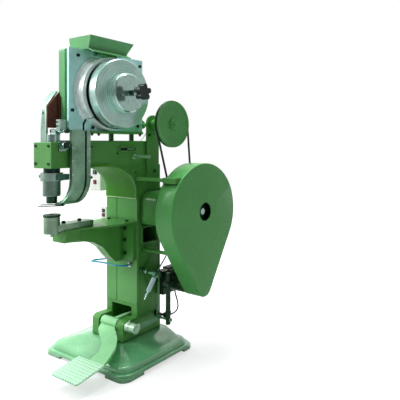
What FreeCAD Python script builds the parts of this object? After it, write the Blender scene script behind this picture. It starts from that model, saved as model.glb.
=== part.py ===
import FreeCAD, Part
import math
import os

# Floor-standing, pedal-operated, motor-driven eyelet-setting machine. Millimetres, +Z up,
# +X to the operator's right, +Y to the back. The origin is the centre of the base on the floor.

V = FreeCAD.Vector
X, Y, Z = V(1, 0, 0), V(0, 1, 0), V(0, 0, 1)

# ---- fits ------------------------------------------------------------------------------------
run_gap = 0.05            # radial clearance of a shaft in its bore
free_gap = 0.6            # gap between faces that pass each other
pin_play = 2.5            # radial play of a link pin that is left loose
pin_travel = 7.0          # length of the slot that takes up the swing of the clutch arm's pin

# ---- base ------------------------------------------------------------------------------------
base_w, base_d = 527.0, 423.0      # across (X) and front to back (Y)
flange_h = 26.0
base_corner_r = 60.0
flange_edge_r = 6.0
foot_lift = 12.0                   # underside raised between the feet
foot_notch = 24.0                  # how deep the raised strip runs in from the edge
foot_r, foot_pad_h = 40.0, 16.0    # corner radius and height of the foot pads
front_foot = 114.0                 # length of a foot along the front and back
side_foot = 107.0                  # length of a front foot along the side
rear_foot = 68.0
body_inset = 14.0
body_top = 52.0
body_edge_r = 24.0
crown_inset = 37.0
plinth_w, plinth_y0, plinth_y1, plinth_z = 250.0, -90.0, 178.0, 80.0
rim_w = 62.0                       # width of the rim round the underside pocket
pocket_h = 36.0

# ---- column ----------------------------------------------------------------------------------
col_half = 102.0
col_front, col_back = 7.0, 156.0
col_wall = 12.0
bay_half = 64.0                    # lower opening in the front wall
bay_top = 222.0
covers_top = 702.0
cover_seam_x = -31.0
cover_t = 12.0
port_y0, port_y1, port_z0, port_z1, port_rim = 32.0, 140.0, 489.0, 575.0, 9.0   # side opening
seam_gap = 2.0
throat_a, throat_b, throat_rib = 168.0, 118.0, 13.0   # elliptical throat under the arm; its rim
throat_proud = 4.0
arm_z0, arm_h = 853.0, 110.0
case_back, case_low, case_up = 245.0, 93.0, 97.0
case_edge_r = 30.0

# ---- upper arm and head ----------------------------------------------------------------------
arm_half = 100.0
arm_back = 150.0
arm_taper_y = -100.0
head_half = 57.0
head_depth = 66.0
arm_front = -317.0
arm_wall = 10.0
head_h = 102.0
head_wall = 12.0
head_cover_t = 8.0
tool_back = 32.0                   # tool axis in front of the arm's end face
boss_y0, boss_y1, boss_z, boss_h, boss_t = -98.0, 0.0, 926.0, 26.0, 7.0
stud_y, stud_z, stud_r, stud_len = -12.0, 892.0, 6.0, 94.0
collar_x, collar_r, collar_h = 12.0, 25.0, 34.0

# ---- ram -------------------------------------------------------------------------------------
ram_r = 16.0
sleeve_r = 31.0
sleeve_z0 = 803.0
ring_r, ring_h = 42.0, 31.0
holder_r, holder_h = 33.0, 61.0
punch_r, punch_h = 20.5, 28.0
ram_pin_z, ram_pin_r = 920.0, 6.0
rocker_y, rocker_z = -30.0, 924.0  # pivot of the rocker lever
rocker_w, rocker_h = 26.0, 24.0
rocker_tail = 152.0                # rear arm of the rocker lever
pivot_r = 10.0
lift_t = 14.0

# ---- drive -----------------------------------------------------------------------------------
crank_y, crank_z, crank_r = 177.0, 643.0, 14.0
wheel_room, foot_room = 34.0, 17.0   # guard beyond the wheels
guard_drop, foot_drop = 3.0, 8.0     # guard below the wheels' centres
cam_r, cam_w, cam_lobe = 26.0, 28.0, 17.0
wheel_r, wheel_w, wheel_x0 = 188.0, 44.0, 288.0
rim_t, web_t, hub_r = 34.0, 12.0, 34.0
small_pulley_r = 65.0
belt_x, cord_r = 231.0, 4.0        # plane and section radius of the round belt
guard_front, guard_back = 360.0, 267.0
guard_wall, guard_hole_r = 4.0, 41.0
motor_z, motor_r, motor_x0, motor_len = 312.0, 50.0, 152.0, 106.0
motor_shaft_r, motor_pulley_r = 9.0, 28.0
vbelt_t, vbelt_w = 9.0, 14.0
mount_y0, mount_y1, mount_z0, mount_z1 = 134.0, 182.0, 240.0, 350.0
mount_plate_t, mount_plate_y1, mount_margin = 10.0, 236.0, 10.0
jbox_len, jbox_h, jbox_t = 60.0, 97.0, 37.0
housing_out, housing_y0, housing_y1, housing_low, housing_up = 98.0, 28.0, 240.0, 60.0, 87.0
housing_wall, housing_r = 5.0, 46.0
tie_r = 8.0
tie_up_y, tie_up_z = 4.0, 792.0
tie_lo_y, tie_lo_z = 51.0, 465.0

# ---- upper pulley and mast -------------------------------------------------------------------
mast_y0, mast_y1, mast_z0, mast_z1, mast_t = 62.0, 136.0, 780.0, 1082.0, 10.0
up_y, up_z, up_r, up_shaft_r = 99.0, 1038.0, 105.0, 9.0
feed_r, drum_feed_r, feed_x, feed_t, feed_w = 14.0, 34.0, 41.0, 3.0, 8.0

# ---- hopper ----------------------------------------------------------------------------------
drum_y = -126.0
bowl_r, bowl_len, bowl_wall = 155.0, 43.4, 8.0
cover_rise, cover_lip, cover_a0, cover_a1 = 17.0, 3.0, 119.0, 221.0   # guard on the bowl's front
bowl_slot = 9.0                    # split of the bowl where the eyelets leave it
plate_x0, plate_t = 55.0, 11.6
plate_foot, plate_head, plate_fore, plate_aft = 1.4, 20.6, 38.0, 45.0  # plate beyond the bowl
tray_x0, tray_x1, tray_web = -11.0, 27.0, 12.0
tray_fore, tray_aft = 9.0, 4.0     # tray inside the plate's edges
drum_x0, drum_x1, drum_wall = 124.0, 166.6, 8.0
drum_in, neck_in = 11.0, 27.0      # drum wall and neck inside the bowl's radius
boss_r, boss_x1 = 84.0, 205.0
hub_shaft_r = 12.0
nut_r, nut_x0, nut_x1 = 11.0, 222.0, 250.0
knob_r, knob_x0, knob_x1, knob_lobes = 34.0, 262.0, 292.0, 5
bin_x0, bin_x1, bin_y0, bin_y1 = -14.0, 100.0, -253.0, -54.0
bin_flare_x, bin_flare_y, bin_h, bin_wall = 20.0, 26.0, 53.0, 4.0
chute_y0, chute_y1, chute_drop = -190.0, -110.0, 17.0
ledge_x0, ledge_x1, ledge_y1, ledge_h = 14.0, 88.0, 62.0, 10.0
post_h, post_half, post_t, post_y1, post_y2 = 30.0, 10.0, 9.0, -89.0, 28.0
spacer_r = 7.0
bar_x0, bar_x1, bar_t = -53.0, 1.0, 8.0
bar_top = 1101.0

# ---- raceway ---------------------------------------------------------------------------------
track_x, track_y, track_w = 70.0, -271.0, 88.0
track_t, rail_h, rail_end = 10.0, 7.0, 1.0
slot_side, slot_w = 16.0, 9.0      # eyelet slot: its near edge from the middle, and its width
track_run, track_flat = 56.0, 4.0  # how far the bend carries the track towards the tool
track_bend_z, tongue_z, tongue_w = 804.0, 712.0, 60.0
fork_t, fork_gap = 3.0, 1.6
fork_tip = 46.0

# ---- anvil -----------------------------------------------------------------------------------
anvil_top = 668.0
disc_r, disc_h = 33.0, 8.0
post_r = 30.5
holder_half, holder_screw_y, holder_y1, holder_z0, holder_z1 = 30.0, -296.0, -171.0, 600.0, 626.0
bracket_half, flare_half = 43.0, 100.0
flare_y0 = -235.0
bracket_top_t, bracket_z0 = 8.0, 420.0
bracket_web = 26.0                 # half thickness of the web under the bracket

# ---- pedal -----------------------------------------------------------------------------------
pedal_y, pedal_z = -50.0, 145.0
shaft_r, shaft_x0, shaft_x1 = 11.0, -112.0, 165.0
lug_in, lug_r = 57.0, 25.0
pad_x0, pad_x1, pad_y0, pad_y1, pad_t = 42.0, 200.0, -383.0, -255.0, 6.0
pad_z0, pad_z1 = 60.0, 80.0        # top of the pad at its front and rear edges
neck_t = 12.0
tube_half, tube_r = 50.0, 21.0
lever_x0, lever_x1 = 144.0, 152.0
link_y, link_z = 99.5, 150.0
trip_x, trip_r, trip_z0, trip_z1 = 205.0, 11.0, 128.0, 362.0
trip_room = 22.0                   # free height above the trip rod before its stop
clutch_y, clutch_z, clutch_r = 32.0, 372.0, 8.0
pull_x, pull_r, pull_neck_r, pull_neck = 136.0, 5.5, 4.0, 26.0
arm_pin_y, arm_pin_z = 112.0, 335.0
hand_x = 195.0

# ---- switches, hose and cable ----------------------------------------------------------------
sw_y0, sw_y1 = 50.0, 108.0
sw_up = (-280.0, -200.0, 717.0, 842.0)
sw_lo = (-199.0, -154.0, 580.0, 644.0)
button_h, button_gap = 12.0, 0.6
key_up, stop_up, key_lo, stop_lo = (12.0, 8.5), (8.5, 8.0), (8.0, 6.0), (8.0, 6.5)   # half sizes
hose_r, cable_r = 4.0, 3.3

# ---- derived ---------------------------------------------------------------------------------
tool_y = arm_front - tool_back
guard_y, guard_z = crank_y, crank_z - guard_drop
guard_r, guard_r2 = wheel_r + wheel_room, motor_pulley_r + foot_room
housing_z0, housing_z1 = crank_z - housing_low, crank_z + housing_up
case_z0, case_z1 = crank_z - case_low, crank_z + case_up
arm_top = arm_z0 + arm_h
plate_z0 = arm_top + post_h + ledge_h
drum_z = plate_z0 + plate_foot + bowl_r
plate_z1 = drum_z + bowl_r + plate_head
plate_y0, plate_y1 = drum_y - bowl_r - plate_fore, drum_y + bowl_r + plate_aft
tray_y0, tray_y1 = plate_y0 + tray_fore, plate_y1 - tray_aft
drum_r, neck_r = bowl_r - drum_in, bowl_r - neck_in
bracket_front = tool_y + post_r + 1.5
ledge_y0 = track_y + track_w / 2 + 2
arm_neck_y = track_y + track_w / 2 + 11


# ---- helpers ---------------------------------------------------------------------------------
def box(x0, x1, y0, y1, z0, z1):
    return Part.makeBox(x1 - x0, y1 - y0, z1 - z0, V(x0, y0, z0))


def rod(p, d, r, length):
    return Part.makeCylinder(r, length, V(*p), d)


def xrod(y, z, r, x0, x1):
    return Part.makeCylinder(r, x1 - x0, V(x0, y, z), X)


def outline(pts, radii):
    """Closed wire through pts with tangent arcs of the given radii at its corners."""
    n = len(pts)
    if not isinstance(radii, (list, tuple)):
        radii = [radii] * n
    edges, ends = [], []
    for i, p in enumerate(pts):
        a = (pts[i - 1] - p).normalize()
        b = (pts[(i + 1) % n] - p).normalize()
        half = a.getAngle(b) / 2.0
        r = radii[i]
        if r <= 0:
            ends.append((p, p))
            continue
        t = r / math.tan(half)
        bis = (a + b).normalize()
        mid = p + bis * (r / math.sin(half) - r)
        ends.append((p + a * t, p + b * t))
        edges.append((i, Part.Arc(p + a * t, mid, p + b * t).toShape()))
    arcs = dict(edges)
    out = []
    for i in range(n):
        if i in arcs:
            out.append(arcs[i])
        q0, q1 = ends[i][1], ends[(i + 1) % n][0]
        if (q1 - q0).Length > 1e-6:
            out.append(Part.LineSegment(q0, q1).toShape())
    return Part.Wire(out)


def slab(pts, radii, vec):
    """Solid of the outline through pts, carried along vec."""
    return Part.Face(outline(pts, radii)).extrude(vec)


def plan(pts, radii, z0, z1):
    return slab([V(x, y, z0) for x, y in pts], radii, V(0, 0, z1 - z0))


def side(pts, radii, x0, x1):
    """Prism with its profile in the YZ plane, from x0 to x1."""
    return slab([V(x0, y, z) for y, z in pts], radii, V(x1 - x0, 0, 0))


def rect(x0, x1, y0, y1):
    return [(x0, y0), (x1, y0), (x1, y1), (x0, y1)]


def fillet(shape, r, test):
    """Fillet of the edges whose middle passes the test."""
    picked = []
    for e in shape.Edges:
        m = e.valueAt((e.FirstParameter + e.LastParameter) / 2.0)
        if test(m, e):
            picked.append(e)
    return shape.makeFillet(r, picked)


def along(e, axis):
    d = e.tangentAt((e.FirstParameter + e.LastParameter) / 2.0)
    return abs(d.dot(axis)) > 0.99


def loop(centres, radii, x0, x1):
    """Open belt or teardrop prism round two circles in the YZ plane."""
    (y0, z0), (y1, z1) = centres
    r0, r1 = radii
    d = math.hypot(y1 - y0, z1 - z0)
    uy, uz = (y1 - y0) / d, (z1 - z0) / d
    s = (r0 - r1) / d
    c = math.sqrt(1.0 - s * s)

    def on(cy, cz, r, k):
        ny, nz = s * uy - k * c * uz, s * uz + k * c * uy
        return V(x0, cy + r * ny, cz + r * nz)
    a0, a1 = on(y0, z0, r0, 1), on(y0, z0, r0, -1)
    b0, b1 = on(y1, z1, r1, 1), on(y1, z1, r1, -1)
    back = V(x0, y0 - uy * r0, z0 - uz * r0)
    front = V(x0, y1 + uy * r1, z1 + uz * r1)
    w = Part.Wire([Part.Arc(a0, back, a1).toShape(), Part.LineSegment(a1, b1).toShape(),
                   Part.Arc(b1, front, b0).toShape(), Part.LineSegment(b0, a0).toShape()])
    return Part.Face(w).extrude(V(x1 - x0, 0, 0))


def turned(profile, y, z):
    """Solid turned about the X-parallel axis through (y, z); profile is (x, radius) points."""
    pts = [V(x, y, z + r) for x, r in profile]
    f = Part.Face(Part.makePolygon(pts + [pts[0]]))
    return f.revolve(V(0, y, z), X, 360)


def tube(points, r):
    """Round tube along straight runs joined by tangent arcs; returns the solid and its radii."""
    pts = [V(*p) for p in points]
    edges, radii, here = [], [], pts[0]
    for i in range(1, len(pts) - 1):
        a, b = pts[i - 1] - pts[i], pts[i + 1] - pts[i]
        la, lb = a.Length, b.Length
        a, b = a.normalize(), b.normalize()
        half = a.getAngle(b) / 2.0
        t = 0.45 * min(la, lb)
        arc_r = t * math.tan(half)
        bis = (a + b).normalize()
        q0, q1 = pts[i] + a * t, pts[i] + b * t
        mid = pts[i] + bis * (arc_r / math.sin(half) - arc_r)
        edges.append(Part.LineSegment(here, q0).toShape())
        edges.append(Part.Arc(q0, mid, q1).toShape())
        radii.append(round(arc_r, 1))
        here = q1
    edges.append(Part.LineSegment(here, pts[-1]).toShape())
    path = Part.Wire(edges)
    ring = Part.Wire([Part.Circle(pts[0], pts[1] - pts[0], r).toShape()])
    solid = path.makePipeShell([ring], True, True)
    print("tube radii", radii, "volume ratio",
          round(solid.Volume / (math.pi * r * r * path.Length), 4))
    return solid


def fuse(shapes):
    out = shapes[0]
    for s in shapes[1:]:
        out = out.fuse(s)
    return out.removeSplitter()


def save(name, shape):
    if isinstance(shape, list):
        shape = Part.makeCompound(shape)
    shape.exportStep("parts/" + name + ".step")


# ---- base and column -------------------------------------------------------------------------
def base_casting():
    hw, hd = base_w / 2, base_d / 2
    flange = plan(rect(-hw, hw, -hd, hd), base_corner_r, 0, flange_h)
    flange = fillet(flange, flange_edge_r, lambda m, e: abs(m.z - flange_h) < 0.01)
    i = body_inset
    body = plan(rect(-hw + i, hw - i, -hd + i, hd - i), base_corner_r - i / 2,
                foot_lift, body_top)
    body = fillet(body, body_edge_r, lambda m, e: abs(m.z - body_top) < 0.01)
    c = crown_inset
    low = outline([V(x, y, body_top - 1) for x, y in rect(-hw + c, hw - c, -hd + c, hd - c)], 40)
    pw = plinth_w / 2
    top = outline([V(x, y, plinth_z) for x, y in rect(-pw, pw, plinth_y0, plinth_y1)], 12)
    crown = Part.makeLoft([low, top], True, True)
    feet = plan(rect(-hw, hw, -hd, hd), foot_r, 0, foot_pad_h)
    solid = fuse([flange, body, crown, feet])
    w = rim_w
    pocket = plan(rect(-hw + w, hw - w, -hd + w, hd - w), 24, -1, pocket_h)
    n = foot_notch
    cuts = [pocket,
            box(-hw + front_foot, hw - front_foot, -hd - 1, -hd + n, -1, foot_lift),
            box(-hw + front_foot, hw - front_foot, hd - n, hd + 1, -1, foot_lift),
            box(-hw - 1, -hw + n, -hd + side_foot, hd - rear_foot, -1, foot_lift),
            box(hw - n, hw + 1, -hd + side_foot, hd - rear_foot, -1, foot_lift)]
    for s in cuts:
        solid = solid.cut(s)
    return solid


def column_casting():
    h, w = col_half, col_wall
    low = box(-h, h, col_front, col_back, plinth_z, bay_top)
    high = box(-h, h, col_front + cover_t, col_back, bay_top, arm_z0)
    shell = low.fuse(high)
    shell = shell.cut(box(-h + w, h - w, col_front + cover_t, col_back - w, plinth_z - 1, arm_z0 + 1))
    shell = shell.cut(box(-bay_half, bay_half, col_front - 1, col_front + cover_t + 1,
                          plinth_z - 1, bay_top - 16))
    shell = shell.cut(box(-h + 24, h - 24, col_back - w - 1, col_back + 1,
                          case_z0 + 18, case_z1 - 6))
    lug = side([(col_front, plinth_z), (col_front, pedal_z + lug_r - 2),
                (pedal_y - lug_r, pedal_z + lug_r), (pedal_y - lug_r, plinth_z)],
               [0, 0, lug_r - 1, 0], lug_in, h)
    other = lug.mirror(V(0, 0, 0), X)
    port = [(port_y0, port_z0), (port_y1, port_z0), (port_y1, port_z1), (port_y0, port_z1)]
    rim = side(port, 6, h - 1, h + 5)
    solid = fuse([shell, lug, other, rim])
    g = port_rim
    port = [(port_y0 + g, port_z0 + g), (port_y1 - g, port_z0 + g), (port_y1 - g, port_z1 - g),
            (port_y0 + g, port_z1 - g)]
    solid = solid.cut(side(port, 3, h - w - 1, h + 6))
    solid = solid.cut(xrod(pedal_y, pedal_z, shaft_r + run_gap, -h - 1, h + 1))
    solid = solid.cut(xrod(clutch_y, clutch_z, clutch_r + run_gap, h - w - 1, h + 1))
    return solid


def front_covers():
    y0, y1 = col_front, col_front + cover_t
    z0, z1 = bay_top, covers_top
    s, g = cover_seam_x, seam_gap / 2
    left = box(-col_half, s - g, y0, y1, z0, z1)
    right = box(s + g, col_half, y0, y1, z0, z1)
    out = []
    for c in (left, right):
        out.append(fillet(c, 2.0, lambda m, e: abs(m.y - y0) < 0.01))
    return out


def ellipse(y, z, a, b):
    """Elliptical prism across the whole arm, half axes a along Y and b along Z."""
    x = col_half + 10
    e = Part.Ellipse(V(-x, y + a, z), V(-x, y, z + b), V(-x, y, z)) if a > b else \
        Part.Ellipse(V(-x, y, z + b), V(-x, y + a, z), V(-x, y, z))
    return Part.Face(Part.Wire([e.toShape()])).extrude(V(2 * x, 0, 0))


def throat_casting():
    """Saddle under the arm: an elliptical throat with a rim that laps the arm's sides."""
    y0, yb, g, w = col_front - throat_proud, col_front + cover_t, throat_rib, col_wall
    zc, yc = arm_z0 - throat_b, y0 - throat_a
    top = arm_z0 + g
    body = fuse([box(-col_half, col_half, yc, y0 + 1, zc, arm_z0),
                 box(-col_half, col_half, y0, yb, covers_top, arm_z0)])
    hollow = box(-col_half + w, col_half - w, yc, yb + 1, zc, arm_z0 + 1)
    body = body.cut(hollow.cut(ellipse(yc, zc, throat_a + w, throat_b + w)))
    rim = ellipse(yc, zc, throat_a + g, throat_b + g)
    rim_y1 = tie_up_y - tie_r * 1.6 - 2
    rim = rim.common(box(-col_half - 5, col_half + 5, yc - throat_a, rim_y1, zc, top + 1))
    rim = rim.cut(box(-col_half - 6, col_half + 6, yc - throat_a - 1, yc - 40, zc - 1, arm_z0))
    wide = plan(arm_plan(-4, arm_front, arm_back), [0, 0, 60, 60, 14, 14, 60, 60], covers_top, top + 1)
    inside = plan(arm_plan(w - 1, arm_front, arm_back), [0, 0, 60, 60, 14, 14, 60, 60], zc - 1, arm_z0 + 1)
    arm = plan(arm_plan(0, arm_front, arm_back), [0, 0, 60, 60, 14, 14, 60, 60], arm_z0, top + 2)
    rim = rim.common(wide).cut(inside.cut(box(-200, 200, yc - 60, y0, zc - 2, arm_z0 - 14)))
    solid = fuse([body.common(wide), rim]).cut(arm)
    return solid.cut(ellipse(yc, zc, throat_a, throat_b))


def crankcase():
    h, w = col_half, col_wall
    solid = box(-h, h, col_back, case_back, case_z0, case_z1)
    solid = fillet(solid, case_edge_r,
                   lambda m, e: along(e, X) and abs(m.y - case_back) < 0.01)
    solid = solid.cut(box(-h + w, h - w, col_back - 1, case_back - w, case_z0 + w, case_z1 - w))
    return solid.cut(xrod(crank_y, crank_z, crank_r + run_gap, -h - 1, h + 1))


# ---- arm and head ----------------------------------------------------------------------------
def arm_plan(inset, y0, y1):
    a, b = arm_half - inset, head_half - inset
    yn = arm_neck_y
    return [(-b, y0), (b, y0), (b, yn), (a, arm_taper_y), (a, y1), (-a, y1), (-a, arm_taper_y), (-b, yn)]


def upper_arm():
    z0, z1, w = arm_z0, arm_z0 + arm_h, arm_wall
    solid = plan(arm_plan(0, arm_front, arm_back), [0, 0, 60, 60, 14, 14, 60, 60], z0, z1)
    solid = fillet(solid, 5.0, lambda m, e: abs(m.z - z1) < 0.01 and m.y > arm_front + 1)
    hollow = plan(arm_plan(w, arm_front + w, arm_back - w), [0, 0, 60, 55, 6, 6, 55, 60], z0 + w, z1 - w)
    solid = solid.cut(hollow)
    inner = col_half - col_wall
    solid = solid.cut(box(-inner + 4, inner - 4, col_front + cover_t + 2, arm_back - w,
                          z0 - 1, z0 + w + 1))
    solid = solid.cut(box(-rocker_w, rocker_w, arm_front - 1, arm_front + w + 1,
                          z0 + w, z1 - 2 * w))
    boss = side([(boss_y0, boss_z - boss_h / 2), (boss_y1, boss_z - boss_h / 2),
                 (boss_y1, boss_z + boss_h / 2), (boss_y0, boss_z + boss_h / 2)],
                boss_h / 2 - 0.1, arm_half - 2, arm_half + boss_t)
    solid = fuse([solid, boss])
    slot = side([(boss_y0 + 7, boss_z - 6), (boss_y1 - 7, boss_z - 6),
                 (boss_y1 - 7, boss_z + 6), (boss_y0 + 7, boss_z + 6)],
                5.9, arm_half + 1, arm_half + boss_t + 1)
    solid = solid.cut(slot)
    return solid.cut(xrod(rocker_y, rocker_z, pivot_r, -arm_half + 5, arm_half - 5))


def cross_stud():
    base = xrod(stud_y, stud_z, stud_r * 2, arm_half, arm_half + 8)
    return fuse([base, xrod(stud_y, stud_z, stud_r, arm_half + 8, arm_half + 8 + stud_len)])


def rocker_pin():
    return xrod(rocker_y, rocker_z, pivot_r, -arm_half + 5, arm_half - 5)


def head_box():
    y0, y1 = arm_front - head_depth, arm_front
    z0, z1, w = arm_z0, arm_z0 + head_h, head_wall
    solid = box(-head_half, head_half, y0, y1, z0, z1)
    solid = solid.cut(box(-head_half + w, head_half - w, y0 - 1, y1 + 1, z0 + w, z1 - w))
    return solid.cut(rod((0, tool_y, z0 - 1), Z, ram_r + run_gap, w + 2))


def head_cover():
    y1 = arm_front - head_depth
    y0 = y1 - head_cover_t
    solid = box(-head_half, head_half, y0, y1, arm_z0, arm_z0 + head_h)
    return fillet(solid, 2.5, lambda m, e: abs(m.y - y0) < 0.01)


def head_screws():
    y = arm_front - head_depth - head_cover_t
    out = []
    for x in (-head_half + 15, head_half - 15):
        for z in (arm_z0 + 18, arm_z0 + head_h - 14):
            s = rod((x, y, z), -Y, 5.5, 4.5)
            out.append(s.cut(rod((x, y - 5, z), Y, 2.6, 3)))
    return out


def guide_sleeve():
    top = arm_z0
    sleeve = rod((0, tool_y, sleeve_z0), Z, sleeve_r, top - sleeve_z0)
    return sleeve.cut(rod((0, tool_y, sleeve_z0 - 1), Z, ram_r + run_gap, top - sleeve_z0 + 2))


def clamp_ring():
    z0 = sleeve_z0
    ring = rod((0, tool_y, z0), Z, ring_r, ring_h)
    ears = box(-ring_r - 22, -ring_r + 8, tool_y - 9, tool_y + 9, z0 + 2, z0 + ring_h - 2)
    arm = box(sleeve_r + 4, track_x - track_t / 2 - 1, tool_y - 10, tool_y + 34,
              z0 + 4, z0 + ring_h - 4)
    solid = fuse([ring, ears, arm])
    solid = solid.cut(rod((0, tool_y, z0 - 1), Z, sleeve_r, ring_h + 2))
    solid = solid.cut(box(-ring_r - 23, -sleeve_r + 1, tool_y - 1.2, tool_y + 1.2,
                          z0 - 1, z0 + ring_h + 1))
    zc = z0 + ring_h / 2
    bolt = rod((-ring_r - 12, tool_y - 9, zc), -Y, 7, 7)
    return fuse([solid, bolt])


def top_collar():
    """Collar on the head with a cross bar, a knob at each of its ends, and a slotted block."""
    z0 = arm_z0 + head_h
    x, y = collar_x, tool_y
    zb = z0 + collar_h + 11
    collar = rod((x, y, z0), Z, collar_r, collar_h)
    collar = fillet(collar, 3, lambda m, e: abs(m.z - z0 - collar_h) < 0.01)
    hub = box(x - 14, x + 18, y - 4, y + 20, z0 + collar_h, zb + 7)
    parts = [collar, hub, xrod(y + 8, zb, 6, x - 24, x + 78), xrod(y + 8, zb, 9.5, x - 24, x - 11),
             xrod(y + 8, zb, 9.5, x + 66, x + 79), xrod(y + 8, zb, 8, x + 22, x + 46)]
    block = box(x + 22, x + 48, y - 4, y + 20, zb, zb + 45)
    for z in (zb + 16, zb + 32):
        block = block.cut(box(x + 21, x + 49, y - 5, y + 3, z, z + 6))
    return fuse(parts + [block])


def side_roller():
    x0, x1 = head_half, head_half + 29
    y, z = arm_front - 24, arm_z0 + head_h - 13
    return fuse([box(x0, x0 + 6, y - 18, y + 12, z - 22, z + 16), xrod(y, z, 11, x0 + 6, x1 - 12),
                 xrod(y, z, 15, x1 - 12, x1 - 3), xrod(y, z, 8, x1 - 3, x1)])


# ---- ram and rocker --------------------------------------------------------------------------
def ram_spindle():
    z0 = sleeve_z0 - holder_h * 0.4
    top = ram_pin_z - 14
    shaft = rod((0, tool_y, z0), Z, ram_r, top - z0)
    tine_h = ram_pin_z + 11 - top
    gap = rocker_w / 2 + free_gap
    tines = box(-gap - 7, gap + 7, tool_y - 10, tool_y + 10, top - 6, top + tine_h)
    tines = tines.cut(box(-gap, gap, tool_y - 11, tool_y + 11, top, top + tine_h + 1))
    pin = xrod(tool_y, ram_pin_z, ram_pin_r, -gap - 7, gap + 7)
    return fuse([shaft, tines, pin])


def punch_holder():
    z1 = sleeve_z0 - free_gap
    z0 = z1 - holder_h
    solid = rod((0, tool_y, z0), Z, holder_r, holder_h)
    solid = fillet(solid, 3, lambda m, e: m.z < z0 + 0.01)
    bore = rod((0, tool_y, sleeve_z0 - holder_h * 0.4), Z, ram_r, holder_h)
    return solid.cut(bore)


def punch():
    z1 = sleeve_z0 - free_gap - holder_h
    solid = rod((0, tool_y, z1 - punch_h), Z, punch_r, punch_h)
    return fillet(solid, 2, lambda m, e: m.z < z1 - punch_h + 0.01)


def rocker_lever():
    y0, y1 = tool_y + 16, rocker_y + rocker_tail
    w, h = rocker_w / 2, rocker_h / 2
    bar = box(-w, w, y0, y1, rocker_z - h, rocker_z + h)
    eye = xrod(rocker_y, rocker_z, 24, -w, w)
    tip = box(-w, w, tool_y - 13, y0, ram_pin_z - 12, ram_pin_z + 12)
    end = xrod(y1, rocker_z, h, -w, w)
    solid = fuse([bar, eye, tip, end])
    slot = side([(tool_y - 14, ram_pin_z - ram_pin_r - free_gap),
                 (tool_y + 11, ram_pin_z - ram_pin_r - free_gap),
                 (tool_y + 11, ram_pin_z + ram_pin_r + free_gap),
                 (tool_y - 14, ram_pin_z + ram_pin_r + free_gap)], [0, 4, 4, 0], -w - 1, w + 1)
    solid = solid.cut(slot)
    return solid.cut(xrod(rocker_y, rocker_z, pivot_r + run_gap, -w - 1, w + 1))


def lift_rod():
    """Push bar between the cam and the tail of the rocker lever."""
    y = rocker_y + rocker_tail
    foot_z = crank_z + cam_r + free_gap
    t = lift_t
    bar = box(-9, 9, y - t / 2, y + t / 2, foot_z + 4, rocker_z - 14 - 2 * free_gap)
    foot = box(-cam_w / 2, cam_w / 2, y - t / 2, crank_y + 16, foot_z, foot_z + t)
    return fuse([bar, foot])


def crankshaft():
    x0, x1 = -col_half - 8, wheel_x0 + wheel_w + 12
    shaft = xrod(crank_y, crank_z, crank_r, x0, x1)
    cam = loop([(crank_y, crank_z), (crank_y, crank_z - cam_lobe)], [cam_r, cam_r * 0.6],
               -cam_w / 2, cam_w / 2)
    return fuse([shaft, cam])


# ---- drive -----------------------------------------------------------------------------------
def flywheel():
    x0, x1 = wheel_x0, wheel_x0 + wheel_w
    mid = (x0 + x1) / 2
    prof = [(belt_x - 9, crank_r + run_gap), (belt_x - 9, hub_r), (x0, hub_r), (mid - web_t / 2, hub_r),
            (mid - web_t / 2, wheel_r - rim_t), (x0, wheel_r - rim_t), (x0, wheel_r),
            (x1, wheel_r), (x1, wheel_r - rim_t), (mid + web_t / 2, wheel_r - rim_t),
            (mid + web_t / 2, hub_r), (x1, hub_r), (x1, crank_r + run_gap)]
    wheel = turned(prof, crank_y, crank_z)
    return wheel


def grooved(r, x, bore, hub, half, y, z, c):
    """Round-belt pulley in the plane x; the belt lies in its groove."""
    floor = r - c
    prof = [(x - half, bore), (x - half, hub), (x - 5, hub + 4), (x - 5, floor - 14),
            (x - 8, floor - 6), (x - 8, r), (x - 6, r), (x - c - 1.0, floor - 2), (x + c + 1.0, floor - 2),
            (x + 6, r), (x + 8, r), (x + 8, floor - 6), (x + 5, floor - 14), (x + 5, hub + 4),
            (x + half, hub), (x + half, bore)]
    return turned(prof, y, z)


def small_pulley():
    r = small_pulley_r
    prof = [(belt_x - 9, hub_r), (belt_x - 9, r), (belt_x - 6, r),
            (belt_x - cord_r - 1, r - cord_r - 2), (belt_x + cord_r + 1, r - cord_r - 2),
            (belt_x + 6, r), (belt_x + 9, r), (belt_x + 9, hub_r)]
    return turned(prof, crank_y, crank_z)


def upper_pulley():
    return grooved(up_r, belt_x, up_shaft_r, 22, 18, up_y, up_z, cord_r)


def pulley_shaft():
    x0 = feed_x - feed_w / 2 - 5
    shaft = xrod(up_y, up_z, up_shaft_r, x0, belt_x + 26)
    wheel = xrod(up_y, up_z, feed_r, feed_x - feed_w / 2 - 1, feed_x + feed_w / 2 + 1)
    return fuse([shaft, wheel])


def round_belt():
    """Round cord belt; its inner face stands just clear of both grooves."""
    gap = free_gap / 2
    ra, rb = small_pulley_r - cord_r - 2 + gap, up_r - cord_r - 2 + gap
    c = [(crank_y, crank_z), (up_y, up_z)]
    w = cord_r * 0.9
    ring = loop(c, [ra + 2 * w, rb + 2 * w], belt_x - w, belt_x + w)
    ring = ring.cut(loop(c, [ra, rb], belt_x - w - 1, belt_x + w + 1))
    return ring


def motor():
    x0, x1 = motor_x0, motor_x0 + motor_len
    body = xrod(crank_y, motor_z, motor_r, x0, x1)
    body = fillet(body, 8, lambda m, e: abs(m.x - x1) < 0.01)
    return body.cut(xrod(crank_y, motor_z, motor_shaft_r + run_gap, x1 - 40, x1 + 1))


def motor_pulley():
    x1 = wheel_x0 + wheel_w
    start = motor_x0 + motor_len - 39
    shaft = xrod(crank_y, motor_z, motor_shaft_r, start, x1)
    mid = (wheel_x0 + x1) / 2
    wheel = xrod(crank_y, motor_z, motor_pulley_r, mid - vbelt_w / 2 - 3, mid + vbelt_w / 2 + 3)
    return fuse([shaft, wheel])


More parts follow.
